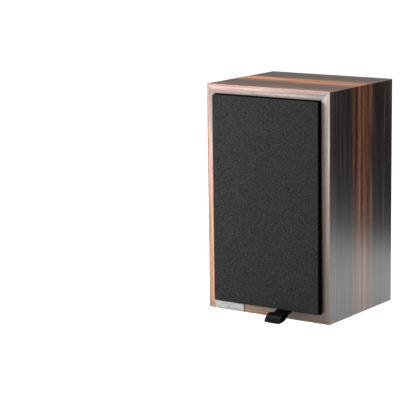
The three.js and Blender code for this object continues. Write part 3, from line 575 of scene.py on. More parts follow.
# The figure's axes, across and along the grain, and its band; then the same for the strip, with its
# tones of wood and painted light; last, for the top, the tint of its painted reflection.
PANELS = {"panel_left": ("ebony_veneer_left", "Y", "Z", BAND, "X", "Z", LIP_LEFT_PAINTED_LIGHT),
          "panel_right": ("ebony_veneer_right", "Y", "Z", BAND, "X", "Z", LIP_RIGHT_PAINTED_LIGHT),
          "panel_top": ("ebony_veneer_top", "Y", "X", TOP_BAND, "Z", "X", LIP_TOP_PAINTED_LIGHT, "#d0dfe7"),
          "panel_bottom": ("ebony_veneer_bottom", "Y", "X", BAND, "Z", "X", LIP_BOTTOM_PAINTED_LIGHT),
          "back_panel": ("ebony_veneer_back", "X", "Z", BACK_BAND, "X", "Z", LIP_RIGHT_PAINTED_LIGHT)}
for panel, recipe in PANELS.items():
    dress(veneer(*recipe), panel)
print("veneered:", list(PANELS))

# %% [markdown]
# ## Grille cloth
# An open, springy cloth is stretched over a board and turned round its edges. Its threads are
# about half a millimetre apart, too fine to show from a distance, so the plain weave is drawn at
# twice that, and a soft mottle goes with it. The cloth is matt, and where it turns round the edges
# it is painted nearly black, as shade.

# %% Cloth stuff
CLOTH_THREAD = 1.1
CLOTH_MOTTLE = 1.45


def woven(name, thread, mottle, dark, light, side_shade, sheen):
    """Cloth: a plain weave with a soft mottle, and painted shade on faces that don't look forward."""
    cloth = finish(name, Roughness=0.92, Specular_IOR_Level=0.02, Sheen_Weight=sheen, Sheen_Roughness=0.5)
    axes = add(cloth, "SeparateXYZ", {"Vector": own_place(cloth)}).outputs
    waves = []
    for axis in "XZ":
        round_edge = add(cloth, "Math", {0: axes[axis], 1: axes["Y"]})
        turns = add(cloth, "Math", {0: round_edge, 1: math.pi / (thread * MM)}, operation="MULTIPLY")
        waves.append(add(cloth, "Math", {0: turns}, operation="SINE"))
    weave = add(cloth, "Math", {0: waves[0], 1: waves[1]}, operation="MULTIPLY")
    blotch = add(cloth, "TexNoise", {"Vector": scaled(cloth, mottle), "Scale": 1.0, "Detail": 3.0})
    height = add(cloth, "MapRange", {"Value": weave, "From Min": -1.0, "To Min": 0.0})
    mixed = add(cloth, "Math", {0: height, 1: 0.35, 2: blotch}, operation="MULTIPLY_ADD")
    tone = add(cloth, "ValToRGB", {"Fac": mixed}, stops=[(0.4, dark), (0.95, light)])
    # Painted shade: faces that don't look forward take the nearly black side colour.
    on_front = add(cloth, "MapRange", {"Value": facing(cloth), "From Min": -0.45, "From Max": -0.95})
    tone = add(cloth, "Mix", {"Factor": on_front, "A": linear(side_shade), "B": tone}, data_type="RGBA")
    bump = add(cloth, "Bump", {"Strength": 0.5, "Distance": 0.25 * MM, "Height": height})
    wire(cloth, Base_Color=tone, Normal=bump)
    return cloth


# The last colour is the painted shade on the turned edges.
charcoal_cloth = woven("charcoal_grille_cloth", CLOTH_THREAD, CLOTH_MOTTLE, "#222223", "#4f4f50",
                       "#010101", 0.01)
print("cloth threads drawn", CLOTH_THREAD, "mm apart, mottle", CLOTH_MOTTLE, "mm")

# %% [markdown]
# The cloth could be simulated, but over a flat board it only ends up flat. So it is drawn as one
# thin shell: a flat front, a quarter round along each edge and a skirt that goes back along the
# frame. On the right the cloth is gathered and bulges a little.

# %% Wrapped cloth
CLOTH_THICKNESS = 0.5
CLOTH_ROUND = 1.4
CLOTH_CORNER = 1.8
CLOTH_BULGE = 0.7
SKIRT_GAP = 0.4
cloth_low, cloth_high = extent("grille_cloth")
frame_high = extent("grille_frame")[1]


def rounded_rectangle(x0, x1, z0, z1, corner, y, steps=6):
    """A loop in the plane of the baffle, with rounded corners."""
    loop = []
    for x, z, start in ((x1, z0, -90), (x1, z1, 0), (x0, z1, 90), (x0, z0, 180)):
        inner = (x - math.copysign(corner, x - (x0 + x1) / 2), z - math.copysign(corner, z - (z0 + z1) / 2))
        loop += [(px, y, pz) for px, pz in arc(*inner, corner, start, start + 90, steps)]
    return loop


def grille_cloth():
    """The cloth's shell, from the middle of its front out, over, back and in again."""
    front, wall = cloth_low.y, CLOTH_THICKNESS
    skirt_end = frame_high.y - SKIRT_GAP
    path = [(CLOTH_ROUND + depth, front, max(CLOTH_CORNER - CLOTH_ROUND, 0.5)) for depth in (12, 6, 3, 0.8)]
    path += [(inset, y, max(CLOTH_CORNER - inset, 0.9))
             for inset, y in arc(CLOTH_ROUND, front + CLOTH_ROUND, CLOTH_ROUND, 270, 180, 6)]
    path += [(0, skirt_end - 2, CLOTH_CORNER), (0, skirt_end, CLOTH_CORNER),
             (wall, skirt_end, CLOTH_CORNER - wall), (wall, front + CLOTH_ROUND, CLOTH_CORNER - wall),
             (wall + 0.4, front + 0.9, CLOTH_CORNER - wall - 0.4),
             (CLOTH_ROUND, front + wall, CLOTH_CORNER - CLOTH_ROUND), (CLOTH_ROUND + 12, front + wall, 0.9)]
    return skinned([rounded_rectangle(cloth_low.x + inset, cloth_high.x + CLOTH_BULGE - inset,
                                      cloth_low.z + inset, cloth_high.z - inset, corner, y)
                    for inset, y, corner in path])


cloth = piece("grille_cloth_wrapped", [(grille_cloth(), charcoal_cloth)], "grille", ["grille_cloth"])

# %% [markdown]
# ## The pull tab
# A loop of black satin ribbon comes out under the grille's bottom edge. Satin has long floats of
# thread, so it is smooth along its length and has one broad highlight. The ribbon is one strip
# of even thickness along a line in Y-Z. It sags as it comes out, arches over, drops to a creased
# fold at its tip, and goes back under itself. The line is a smooth curve through a few points.

# %% Ribbon line
RIBBON_THICKNESS = 0.55
RIBBON_UPPER = [(-77.6, 12.45), (-88.0, 12.4), (-96.0, 11.0), (-106.5, 12.3), (-113.5, 10.3), (-117.7, 6.2)]
RIBBON_FOLD = [(-118.9, 3.4), (-118.5, 2.6), (-117.4, 2.4)]
RIBBON_LOWER = [(-106.0, 4.0), (-98.5, 8.6), (-93.0, 11.1), (-89.0, 11.6)]
CURVE_STEPS = 5


def through(points, steps):
    """A smooth curve through points."""
    points = [Vector(p) for p in points]
    ends = [2 * points[0] - points[1]] + points + [2 * points[-1] - points[-2]]
    curve = []
    for before, start, end, after in zip(ends, ends[1:], ends[2:], ends[3:]):
        for i in range(steps):
            t = i / steps
            curve.append(0.5 * (2 * start + (end - before) * t
                                + (2 * before - 5 * start + 4 * end - after) * t ** 2
                                + (3 * start - before - 3 * end + after) * t ** 3))
    return curve + [points[-1]]


line = through(RIBBON_UPPER + RIBBON_FOLD + RIBBON_LOWER, CURVE_STEPS)

# %% [markdown]
# Woven ribbon is never quite flat, so its edges curl by a quarter of a millimetre where it hangs
# free. The satin's threads are drawn about a millimetre wide, coarser than real ones.

# %% Ribbon
RIBBON_THREAD = 0.9
RIBBON_CURL = 0.25
FREE_AFTER = 20
ribbon_low, ribbon_high = extent("grille_tab")
ribbon_width = ribbon_high.x - ribbon_low.x

black_satin = finish("black_satin_ribbon", Roughness=0.34, Specular_IOR_Level=0.12)
threads = add(black_satin, "TexWave", {"Vector": scaled(black_satin, RIBBON_THREAD), "Scale": 1.0,
                                       "Distortion": 0.6}, bands_direction="X")
satin_tone = add(black_satin, "ValToRGB", {"Fac": threads}, stops=[(0.0, "#030304"), (1.0, "#09090a")])
wire(black_satin, Base_Color=satin_tone,
     Normal=add(black_satin, "Bump", {"Strength": 0.25, "Distance": 0.08 * MM, "Height": threads}))

section = thick(line, RIBBON_THICKNESS)
loops = []
for share in (0, 0.04, 0.2, 0.4, 0.6, 0.8, 0.96, 1):
    x = ribbon_low.x + share * ribbon_width
    curl = RIBBON_CURL * (2 * share - 1) ** 2
    free_end = cloth_low.y - FREE_AFTER
    loops.append([(x, y, z + curl * smoothstep(cloth_low.y, free_end, y)) for y, z in section])
ribbon = piece("pull_ribbon", [(skinned(loops), black_satin)], "grille", ["grille_tab"], 60)

# %% [markdown]
# ## Simple finishes
# Most stuffs of a speaker are an even colour with a fine mottle, such as cast ferrite, moulded
# plastic or powder coat. One function makes them all: a noise of a real grain size, between two
# tones, with a little height, and edges that look slightly worn round.

# %% Mottled stuff
def stuff(name, grain, dark, light, height=0.05, stretch=(1, 1, 1), edge=0.3, **sockets):
    """A material with grain and height in millimetres; the grain is longer along a stretched axis."""
    material = finish(name, **sockets)
    place = scaled(material, *(grain * s for s in stretch))
    speck = add(material, "TexNoise", {"Vector": place, "Scale": 1.0, "Detail": 3.0, "Roughness": 0.6})
    tone = add(material, "ValToRGB", {"Fac": speck}, stops=[(0.3, dark), (0.7, light)])
    rounded = add(material, "Bevel", {"Radius": edge * MM}, samples=4)
    bump = add(material, "Bump", {"Strength": 0.6, "Distance": height * MM, "Height": speck,
                                  "Normal": rounded})
    wire(material, Base_Color=tone, Normal=bump)
    return material


# %% [markdown]
# Behind the baffle are the battens, the motors and the crossover. They seldom show, but each has
# the look of its real stuff. The CAD shapes of these pieces are right, so they are only dressed.

# %% Stuffs of the hidden pieces
# Stained board: matt and even, with a faint fibre.
black_board = stuff("black_stained_board", 1.2, "#2b2b30", "#3a3a41", 0.06, Roughness=0.75,
                    Specular_IOR_Level=0.25)
# Birch plywood: pale, with long fibres.
birch_ply = stuff("birch_plywood", 1.0, "#b99a6c", "#d8bf94", 0.05, (1, 12, 20), Roughness=0.6)
# Open foam: dull and deeply pitted.
acoustic_foam = stuff("acoustic_foam", 1.4, "#232325", "#4c4c50", 0.6, Roughness=1.0,
                      Specular_IOR_Level=0.1)
# Zinc-plated steel: a soft, greyish mirror.
plated_steel = stuff("zinc_plated_steel", 0.8, "#9d9fa0", "#c3c4c4", 0.02, Metallic=1.0, Roughness=0.32)
# Blackened steel: dark, with a faint metal gleam.
black_steel = stuff("blackened_steel", 0.6, "#131314", "#222224", 0.02, Metallic=0.8, Roughness=0.38)
# Sintered ferrite: dark and stony.
ferrite = stuff("sintered_ferrite", 0.5, "#26262a", "#38383d", 0.04, Roughness=0.7)
# Turned brass: golden, with fine tool rings.
brass = stuff("turned_brass", 0.3, "#b08a45", "#cba765", 0.01, (6, 1, 6), Metallic=1.0, Roughness=0.24)
# Enamelled copper: reddish metal in long turns.
copper_wire = stuff("enamelled_copper_wire", 0.6, "#8a4a28", "#c47748", 0.15, (20, 1, 20), Metallic=1.0,
                    Roughness=0.3)
# Resin-dipped cloth: amber and stiff.
spider_cloth = stuff("resin_dipped_cloth", 0.9, "#8b6a30", "#b08c4c", 0.15, Roughness=0.85)
# Glass-fibre board: green under a thin gloss.
circuit_board = stuff("glass_fibre_board", 0.7, "#234d2c", "#2f6239", 0.03, Roughness=0.4)
# Polyester film: smooth, strong red.
capacitor_case = stuff("polyester_film_case", 0.8, "#8e1f1a", "#a82a22", 0.03, Roughness=0.35)
# PVC sheath: black, slightly waxy.
lead_sheath = stuff("pvc_lead_sheath", 0.6, "#161617", "#222223", 0.02, Roughness=0.45)
# Moulded ABS: an even colour with a clean, soft highlight.
red_plastic = stuff("red_moulded_abs", 0.4, "#8f1212", "#a31919", 0.015, Roughness=0.32)
black_plastic = stuff("black_moulded_abs", 0.4, "#161617", "#202022", 0.02, Roughness=0.4)

dress(birch_ply, "batten_left", "batten_right", "batten_bottom", "batten_top")
dress(black_board, "baffle", "grille_frame")
dress(plated_steel, "tweeter_top_plate", "tweeter_yoke", "woofer_top_plate", "woofer_yoke")
dress(ferrite, "tweeter_magnet", "woofer_magnet")
dress(copper_wire, "woofer_voice_coil")
dress(circuit_board, "crossover_board")
dress(lead_sheath, "tweeter_lead", "woofer_lead")
dress(brass, "terminal_post_red", "terminal_post_black", "terminal_clamp_red", "terminal_clamp_black")
dress(red_plastic, "terminal_knob_red")
dress(black_plastic, "terminal_knob_black", "terminal_plate")
print("finishes so far:", len(bpy.data.materials))

# %% [markdown]
# ## The small plate on the lip
# A strip of brushed aluminium is fixed to the bottom edge at the left, on a black backing; at the
# plate's right end the backing reaches out a millimetre and paints the plate's shadow as a thin
# dark line. Brushing leaves fine, long scratches that stretch the highlight. Its face is left bare.

# %% Brushed plate
BACKING = 0.25
brushed_aluminium = stuff("brushed_aluminium", 0.4, "#7f7f7e", "#c6c6c4", 0.03, (30, 1, 1), 0.15,
                          Metallic=1.0, Roughness=0.36, Anisotropic=0.7)
low, high = extent("badge_plate")
metal = cut_plate(rectangle(low.x, high.x, low.z, high.z), low.y, high.y - 0.15, 0.2)
# The backing reaches a millimetre past the plate's right end, where it paints the plate's shadow.
behind = rectangle(low.x - 0.3, high.x + 1.0, low.z - 0.3, high.z + 0.3)
backing_and_shadow = cut_plate(behind, high.y - BACKING, high.y, 0.05)
piece("lip_plate", [(metal, brushed_aluminium), (backing_and_shadow, black_plastic)], stands_for=["badge_plate"])
print("plate", round(high.x - low.x), "by", round(high.z - low.z, 1), "mm")

# %% [markdown]
# ## Felt
# Black wool felt lines the baffle, to soak up sound that would bounce off it. Felt is pressed
# from loose fibre: it is matt, its surface is slightly uneven, and single pale fibres catch the
# light as specks. Its fibres are far finer than a render shows, so the specks are drawn about a
# millimetre wide. Faces that don't look forward are painted nearly black, as shade.

# %% Felt stuff
FELT_GRAIN = 1.6
FIBRE_SPECK = 1.2

wool_felt = finish("black_wool_felt", Roughness=1.0, Specular_IOR_Level=0.08, Sheen_Weight=0.2,
                   Sheen_Roughness=0.6)
base_noise = add(wool_felt, "TexNoise", {"Vector": scaled(wool_felt, FELT_GRAIN), "Scale": 1.0,
                                         "Detail": 5.0, "Roughness": 0.7})
felt_tone = add(wool_felt, "ValToRGB", {"Fac": base_noise},
                stops=[(0.32, "#19181f"), (0.58, "#34323d"), (0.75, "#514f5c")])
fibres = add(wool_felt, "TexNoise", {"Vector": scaled(wool_felt, FIBRE_SPECK), "Scale": 1.0, "Detail": 2.0})
fibre_mask = add(wool_felt, "ValToRGB", {"Fac": fibres}, stops=[(0.55, 0.0), (0.68, 1.0)])
felt_colour = add(wool_felt, "Mix", {"Factor": fibre_mask, "A": felt_tone, "B": linear("#73717e")},
                  data_type="RGBA")
# Painted shade: faces that don't look forward are painted nearly black.
felt_side_shade = add(wool_felt, "MapRange", {"Value": facing(wool_felt), "From Min": -0.4, "From Max": -0.8})
felt_colour = add(wool_felt, "Mix", {"Factor": felt_side_shade, "A": linear("#08080a"), "B": felt_colour},
                  data_type="RGBA")
wire(wool_felt, Base_Color=felt_colour,
     Normal=add(wool_felt, "Bump", {"Strength": 0.8, "Distance": 0.35 * MM, "Height": base_noise}))
print("felt grain", FELT_GRAIN, "mm, fibre specks", FIBRE_SPECK, "mm")

# %% [markdown]
# Bright wire staples hold the strips, and cup washers sink into them. Their places come first,
# because the felt has to know where it is pressed in: staples run down the sides, and two pairs
# stand upright at the top and at the bottom.

# %% Where the staples and screws sit
# From the baffle's middle, in millimetres: a side row's place and step, and the upright places.
SIDE_STAPLES = (72.2, 45)
UPRIGHT_STAPLES = ((21, 129.5), (72.5, 118.7))
baffle_face = extent("baffle")[0].y
felt_face = extent("felt_left")[0].y
baffle_middle = (extent("felt_bottom")[0].z + extent("felt_top")[1].z) / 2


def named(start):
    """The CAD nodes whose names start with a word."""
    return [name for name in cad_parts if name.startswith(start)]


side_x, side_step = SIDE_STAPLES
staples = [(side * side_x, baffle_middle + k * side_step, False) for side in (-1, 1) for k in range(-2, 3)]
staples += [(side * x, baffle_middle + up * z, True)
            for x, z in UPRIGHT_STAPLES for side in (-1, 1) for up in (-1, 1)]
washers = [centre(name) for name in named("baffle_screw")]
washer_radius = half_width("baffle_screw_top_left")
print(len(staples), "staples,", len(washers), "cup washers of", round(washer_radius, 1), "mm radius")

# %% [markdown]
# A strip could be a plain box with a bumpy material, but the felt sinks visibly round every staple
# and washer. Two helpers measure that: one gives the felt's own unevenness, as coarse and fine
# noise, and the other how deep the nearest staple or washer presses it in.

# %% Unevenness and dents
FELT_UNEVEN = 0.22
STAPLE_LENGTH = 9.3
STAPLE_DENT, STAPLE_DENT_REACH = 0.75, (0.5, 2.4)
WASHER_DENT, WASHER_DENT_REACH = 1.7, (-0.2, 1.1)


def unevenness(x, y, z):
    """How far felt stands off its drawn surface, in millimetres."""
    coarse = noise.noise(Vector((x, y, z)) / 7)
    fine = noise.noise(Vector((x, y, z)) / 1.9)
    return FELT_UNEVEN * (0.6 * coarse + 0.4 * fine)


def pressed(x, z):
    """How deep a staple or a washer presses the felt in at a point, in millimetres."""
    depth = 0
    for sx, sz, upright in staples:
        across, along = (x - sx, z - sz) if upright else (z - sz, x - sx)
        past_end = max(abs(along) - STAPLE_LENGTH / 2, 0)
        depth = max(depth, STAPLE_DENT * (1 - smoothstep(*STAPLE_DENT_REACH, math.hypot(across, past_end))))
    inner, outer = (washer_radius + reach for reach in WASHER_DENT_REACH)
    for wx, wz in washers:
        depth = max(depth, WASHER_DENT * (1 - smoothstep(inner, outer, math.hypot(x - wx, z - wz))))
    return depth


x, z, _ = staples[0]
print("felt pressed in", pressed(x, z), "mm at a staple and", pressed(*washers[0]), "mm at a washer")

# %% [markdown]
# Each strip is a fine grid, and its front is a height field: rounded at the edge, pressed in at
# the fasteners, and uneven all over.

# %% Felt strips
FELT_GRID = 1.1
FELT_EDGE = 0.9


def felt_strip(node):
    """A strip's grid over its front, with straight sides and a flat back."""
    low, high = extent(node)
    columns = round((high.x - low.x) / FELT_GRID)
    rows = round((high.z - low.z) / FELT_GRID)
    wide = columns + 1
    points = []
    for j in range(rows + 1):
        for i in range(wide):
            x = low.x + (high.x - low.x) * i / columns
            z = low.z + (high.z - low.z) * j / rows
            inside = min(min(x - low.x, high.x - x, z - low.z, high.z - z) / FELT_EDGE, 1)
            rounding = FELT_EDGE * (1 - math.sqrt(1 - (1 - inside) ** 2))
            sunk = rounding + pressed(x, z) + FELT_UNEVEN * 0.6 - unevenness(x, 0, z)
            points.append((x, min(low.y + max(sunk, 0.02), high.y - 0.2), z))
    faces = [[j * wide + i, j * wide + i + 1, (j + 1) * wide + i + 1, (j + 1) * wide + i]
             for j in range(rows) for i in range(columns)]
    rim = [i for i in range(columns)] + [j * wide + columns for j in range(rows)]
    rim += [rows * wide + i for i in range(columns, 0, -1)] + [j * wide for j in range(rows, 0, -1)]
    start, count = len(points), len(rim)
    points += [(points[i][0], high.y, points[i][2]) for i in rim]
    faces += [[rim[i], rim[(i + 1) % count], start + (i + 1) % count, start + i] for i in range(count)]
    return points, faces + [list(range(start, start + count))]


for side in ("top", "bottom", "left", "right"):
    strip = piece(f"felt_strip_{side}", [(felt_strip(f"felt_{side}"), wool_felt)],
                  stands_for=[f"felt_{side}"], crease=70)
print("felt strip thickness", round(extent("felt_left")[1].y - felt_face, 1), "mm")

# %% [markdown]
# Round the tweeter stands a deep square of the same felt, which covers the edge of the tweeter's
# plate. It is skinned over square loops. The first helper walks round a loop in equal steps, and
# the second shifts a point by the same unevenness as in the strips.

# %% Loops of the felt square
def walked(corners, counts):
    """Points along a closed outline, with each side cut in equal steps."""
    return [tuple(a + (b - a) * i / count for a, b in zip(start, end))
            for start, end, count in zip(corners, corners[1:] + corners[:1], counts) for i in range(count)]


def soft(point, share, face):
    """Moves a point of the felt square inward by the felt's unevenness."""
    x, y, z = point
    shift = FELT_UNEVEN - unevenness(x, y, z)
    if 0 < share < 1:
        return x, max(y, face) + shift * 0.7, z
    inward = 0.6 * shift if share == 0 else -0.6 * shift
    cx, cz = centre("tweeter_felt_frame")
    return x - math.copysign(inward, x - cx), y, z - math.copysign(inward, z - cz)


# %% [markdown]
# The loops go out along the foot of the square, up, over and back down inside. A level says how
# far a loop has come from the outer edge to the inner one, and how far forward it stands.

# %% Felt square round the tweeter
COVERED_SIDE, COVERED_TOP, COVERED_BOTTOM = 3.1, 6.75, 10.75
SQUARE_GRID = 1.6


def felt_square():
    """The square's skin, over loops that go out along its foot, up, over and down inside."""
    low, high = extent("tweeter_felt_frame")
    plate_low, plate_high = extent("tweeter_plate")
    outer = (low.x, high.x, low.z, high.z)
    inner = (plate_low.x + COVERED_SIDE, plate_high.x - COVERED_SIDE,
             plate_low.z + COVERED_BOTTOM, plate_high.z - COVERED_TOP)
    counts = [round((high.x - low.x) / SQUARE_GRID), round((high.z - low.z) / SQUARE_GRID)] * 2
    foot, behind = high.y - 0.02, plate_low.y - 0.3
    top = low.y + FELT_EDGE
    edge = FELT_EDGE / (inner[0] - outer[0])
    levels = [(0, foot)] + [(0, top + (high.y - 0.5 - low.y - FELT_EDGE) * (1 - i / 9)) for i in range(10)]
    levels += [(0.3 * edge, low.y + 0.3 * FELT_EDGE)]
    levels += [(edge + (1 - 2 * edge) * i / 8, low.y) for i in range(9)]
    levels += [(1 - 0.3 * edge, low.y + 0.3 * FELT_EDGE)]
    levels += [(1, top + (behind - low.y - FELT_EDGE) * i / 8) for i in range(9)]
    levels += [(0.25, behind), (0.2, foot)]
    loops = []
    for number, (share, y) in enumerate(levels):
        corners = rectangle(*(a + (b - a) * share for a, b in zip(outer, inner)))
        ring = [(x, y, z) for x, z in walked(corners, counts)]
        uneven = 0 < number < len(levels) - 3
        loops.append([soft(p, share, low.y) for p in ring] if uneven else ring)
    return skinned(loops, closed=True)


surround_felt = piece("felt_square", [(felt_square(), wool_felt)], stands_for=["tweeter_felt_frame"],
                      crease=70)
print("felt square covers", COVERED_SIDE, "mm of the plate at each side")

# %% [markdown]
# A staple is one length of flat wire, bent twice, with its legs in the felt and its bridge just
# under the grille's frame. It is drawn a little wider than real wire, so that it shows.

# %% Staples
STAPLE_WIDTH = 1.1
STAPLE_WIRE = 0.5
STAPLE_BEND = 0.45
FRAME_CLEARANCE = 0.1
# Galvanised staple wire: pale, and painted near-white to stand for its shine, more white than mirror.
staple_wire_and_shine = stuff("staple_wire_painted_shine", 0.5, "#ececea", "#fafaf8", 0.02, Metallic=0.1, Roughness=0.3)


def staple(x, z, upright):
    """A flat-wire staple: two legs in the felt and a bridge just under the grille's frame."""
    crest = frame_high.y + FRAME_CLEARANCE
    half = STAPLE_LENGTH / 2
    bridge = (half - STAPLE_BEND, crest + STAPLE_WIRE / 2)
    leg = [(half, crest + 0.7), (half, felt_face + 2)]
    line = [(-s, y) for s, y in leg[::-1]] + [(-bridge[0], bridge[1]), bridge] + leg

    def lay(s, across, y):
        return (x + across, y, z + s) if upright else (x + s, y, z + across)

    return cut_plate(thick(line, STAPLE_WIRE), -STAPLE_WIDTH / 2, STAPLE_WIDTH / 2, 0.1, 1, lay)


piece("felt_staples", [(staple(*where), staple_wire_and_shine) for where in staples])
print(len(staples), "staples of", STAPLE_LENGTH, "mm")

# %% [markdown]
# ## Screws
# Eight wood screws in bright cup washers hold the baffle, four pan heads with flat washers hold
# the woofer, and two black socket screws hold the tweeter. A recess could be cut out with a
# boolean, but a height field over rings gives clean faces: each head is pressed in where the
# driver goes.

# %% Screw head
HEAD_RINGS = 12
HEAD_STEPS = 48


def head(at, radius, crest, seat, depth_at):
    """A screw head whose front stands at crest plus depth_at(radius, angle); its back is flat."""
    x, z = at
    points, faces = [(x, crest + depth_at(0, 0), z)], []
    for k in range(1, HEAD_RINGS + 1):
        r = radius * k / HEAD_RINGS
        for i in range(HEAD_STEPS):
            a = 2 * math.pi * i / HEAD_STEPS
            points.append((x + r * math.cos(a), crest + depth_at(r, a), z + r * math.sin(a)))
    last = 1 + (HEAD_RINGS - 1) * HEAD_STEPS
    points += [(px, seat, pz) for px, _, pz in points[last:]]
    for i in range(HEAD_STEPS):
        j = (i + 1) % HEAD_STEPS
        faces.append([0, 1 + i, 1 + j])
        for k in range(HEAD_RINGS):
            start = 1 + k * HEAD_STEPS
            faces.append([start + i, start + HEAD_STEPS + i, start + HEAD_STEPS + j, start + j])
    faces.append([last + HEAD_STEPS + i for i in range(HEAD_STEPS)])
    return points, faces


# %% [markdown]
# A wood screw's shank is turned with its thread as plain rings, for it never shows. The second
# helper gives the depth of a cross recess, and the third makes all screws of a kind at once.

# %% Shank, recess and sets of screws
THREAD_PITCH = 1.4
SHANK_RADIUS = 1.6


def shank(at, start, end):
    """A threaded shank with a pointed end."""
    rims = [(0, start), (SHANK_RADIUS, start)]
    y = start + 1
    while y < end - SHANK_RADIUS * 2 - THREAD_PITCH:
        rims += [(SHANK_RADIUS, y), (SHANK_RADIUS * 0.78, y + THREAD_PITCH / 2)]
        y += THREAD_PITCH
    return turned(rims + [(SHANK_RADIUS, y), (0, end)], at, 16)


def crossed(rounding, size, deep):
    """Depth of a domed head with a cross recess."""
    def depth(r, a):
        across, along = sorted((abs(r * math.cos(a)), abs(r * math.sin(a))))
        bar = (1 - smoothstep(0.3, 0.55, across)) * (1 - smoothstep(size - 0.3, size, along))
        centre_pit = 1 - smoothstep(0.5, 1.0, r)
        return rounding(r) + deep * max(bar * (1 - 0.5 * r / size), centre_pit)
    return depth


def screws(name, nodes, parts_at):
    """One object for all screws of a kind, from parts at each one's place, crest and tip."""
    low, high = extent(nodes[0])
    piece(name, [part for node in nodes for part in parts_at(centre(node), low.y, high.y)],
          stands_for=nodes)
    print(name, len(nodes))


# %% [markdown]
# The baffle's cup washers are turned sheet, bright against the felt, and the countersunk heads in
# them are painted nearly black as shade, because the recess faces no lamp. The woofer's pan heads
# sit on flat washers; a thin dark ring painted under each washer's edge stands for its shadow line,
# and a dark disc painted in each head stands for the shade in its recess.

# %% Screws of the baffle and the woofer
WOOFER_WASHER = 5.1
WOOFER_WASHER_RAISED = 0.35
WOOFER_HEAD = 2.9
woofer_face = extent("woofer_basket")[0].y
# Polished zinc: bright and a little soft.
bright_washer = stuff("bright_zinc_washer", 0.6, "#c6c6c9", "#dfdfe2", 0.03, Metallic=0.6, Roughness=0.4)
# Dull zinc: grey, with no clear mirror.
grey_washer = stuff("grey_zinc_washer", 0.7, "#737475", "#868788", 0.03, Roughness=0.5)
# Nearly black: blackened steel, and the painted shade of recesses and shadow lines.
black_and_painted_shade = stuff("black_steel_and_painted_shade", 0.5, "#0c0c0e", "#1a1a1c", 0.02, Roughness=0.6)


def baffle_screw(at, crest, tip):
    """A cup washer, a countersunk head that sits in it, and a shank."""
    seat = baffle_face
    cup = [(1.75, seat), (1.75, crest + 0.55), (2.1, crest + 0.14), (2.5, crest), (2.85, crest + 0.16),
           (washer_radius, crest + 0.6), (washer_radius, seat)]
    bowl = crossed(lambda r: 0.1 * r * r, 1.4, 0.7)
    # The countersunk head is painted nearly black, as the shade in its cup.
    return [(turned(cup, at, 40), bright_washer), (head(at, 1.8, crest + 0.5, seat - 0.1, bowl), black_and_painted_shade),
            (shank(at, seat - 0.1, tip), plated_steel)]


def woofer_screw(at, crest, tip):
    """A flat washer over a painted shadow ring, a pan head with painted shade in its recess, and a shank.
    """
    seat, rim = woofer_face, woofer_face - WOOFER_WASHER_RAISED
    flat = [(1.9, seat), (1.9, rim), (WOOFER_WASHER - 0.75, rim), (WOOFER_WASHER - 0.55, rim + 0.12),
            (WOOFER_WASHER - 0.5, seat)]
    # A thin dark ring under the washer's edge paints its shadow line.
    shadow_ring = [(WOOFER_WASHER - 0.7, seat), (WOOFER_WASHER - 0.7, seat - 0.12),
              (WOOFER_WASHER + 0.2, seat - 0.12), (WOOFER_WASHER + 0.3, seat)]
    dome = crossed(lambda r: 0.035 * r * r + 0.25 * smoothstep(2.3, WOOFER_HEAD, r), 1.5, 0.42)
    # A dark disc behind the cross paints the shade in the recess.
    recess_shade = [(0, crest + 0.05), (1.9, crest + 0.05), (1.95, crest + 0.5), (0, crest + 0.5)]
    return [(turned(flat, at, 48), grey_washer), (turned(shadow_ring, at, 48), black_and_painted_shade),
            (head(at, WOOFER_HEAD, crest, rim, dome), grey_washer), (turned(recess_shade, at, 24), black_and_painted_shade),
            (shank(at, rim, tip), plated_steel)]


screws("baffle_screws", named("baffle_screw"), baffle_screw)
screws("woofer_screws", named("woofer_screw"), woofer_screw)

# %% [markdown]
# The tweeter's screws are black socket caps. Each cap is painted a patchy, paler grey that stands
# for the glint on its rim, round a six-sided hole whose bottom is painted black as shade.

# %% Screws of the tweeter
PLATE_THICKNESS = 2.5
COLLAR_RADIUS = 4.2
cap_radius = half_width("tweeter_screw_left")
tweeter_face = extent("tweeter_plate")[1].y - PLATE_THICKNESS
# Black oxide with a painted glint: patches of dark and pale steel.
cap_glint = stuff("socket_cap_painted_glint", 0.9, "#29292b", "#747476", 0.03, Metallic=0.7, Roughness=0.3)


def socket(r, a):
    """A socket screw's chamfered rim and its six-sided hole."""
    six_sided = r * max(abs(math.cos(a - k * math.pi / 3)) for k in range(3))
    return 0.5 * smoothstep(cap_radius - 0.6, cap_radius, r) + 1.3 * (1 - smoothstep(1.45, 1.75, six_sided))


def tweeter_screw(at, crest, tip):
    """A black collar, a socket cap with its hole, and a shank."""
    seat = tweeter_face
    collar = [(cap_radius - 0.5, seat), (cap_radius - 0.5, crest + 0.9), (cap_radius + 0.2, crest + 0.25),
              (COLLAR_RADIUS - 0.4, crest + 0.35), (COLLAR_RADIUS, crest + 0.8), (COLLAR_RADIUS, seat)]
    socket_shade = [(0, crest + 0.3), (1.5, crest + 0.3), (1.5, crest + 1.4), (0, crest + 1.4)]
    # The cap's paler grey is a painted glint; the plug in its hole is painted black as shade.
    return [(turned(collar, at, 48), black_and_painted_shade), (turned(socket_shade, at, 6), black_and_painted_shade),
            (head(at, cap_radius, crest, seat, socket), cap_glint), (shank(at, seat, tip), black_steel)]


screws("tweeter_screws", ["tweeter_screw_left", "tweeter_screw_right"], tweeter_screw)

# %% [markdown]
# ## Tweeter
# A square cast plate carries a soft dome. Its corners are cut off, with a black strip painted
# along each cut as the shadow line of the raised face, and outside them lies the lower, brighter
# casting. Round the dome the plate has a shallow dish and a raised ring. The plate is skinned over
# loops that all have a point at the same angles: circles near the dome, then an octagon, then the
# square.

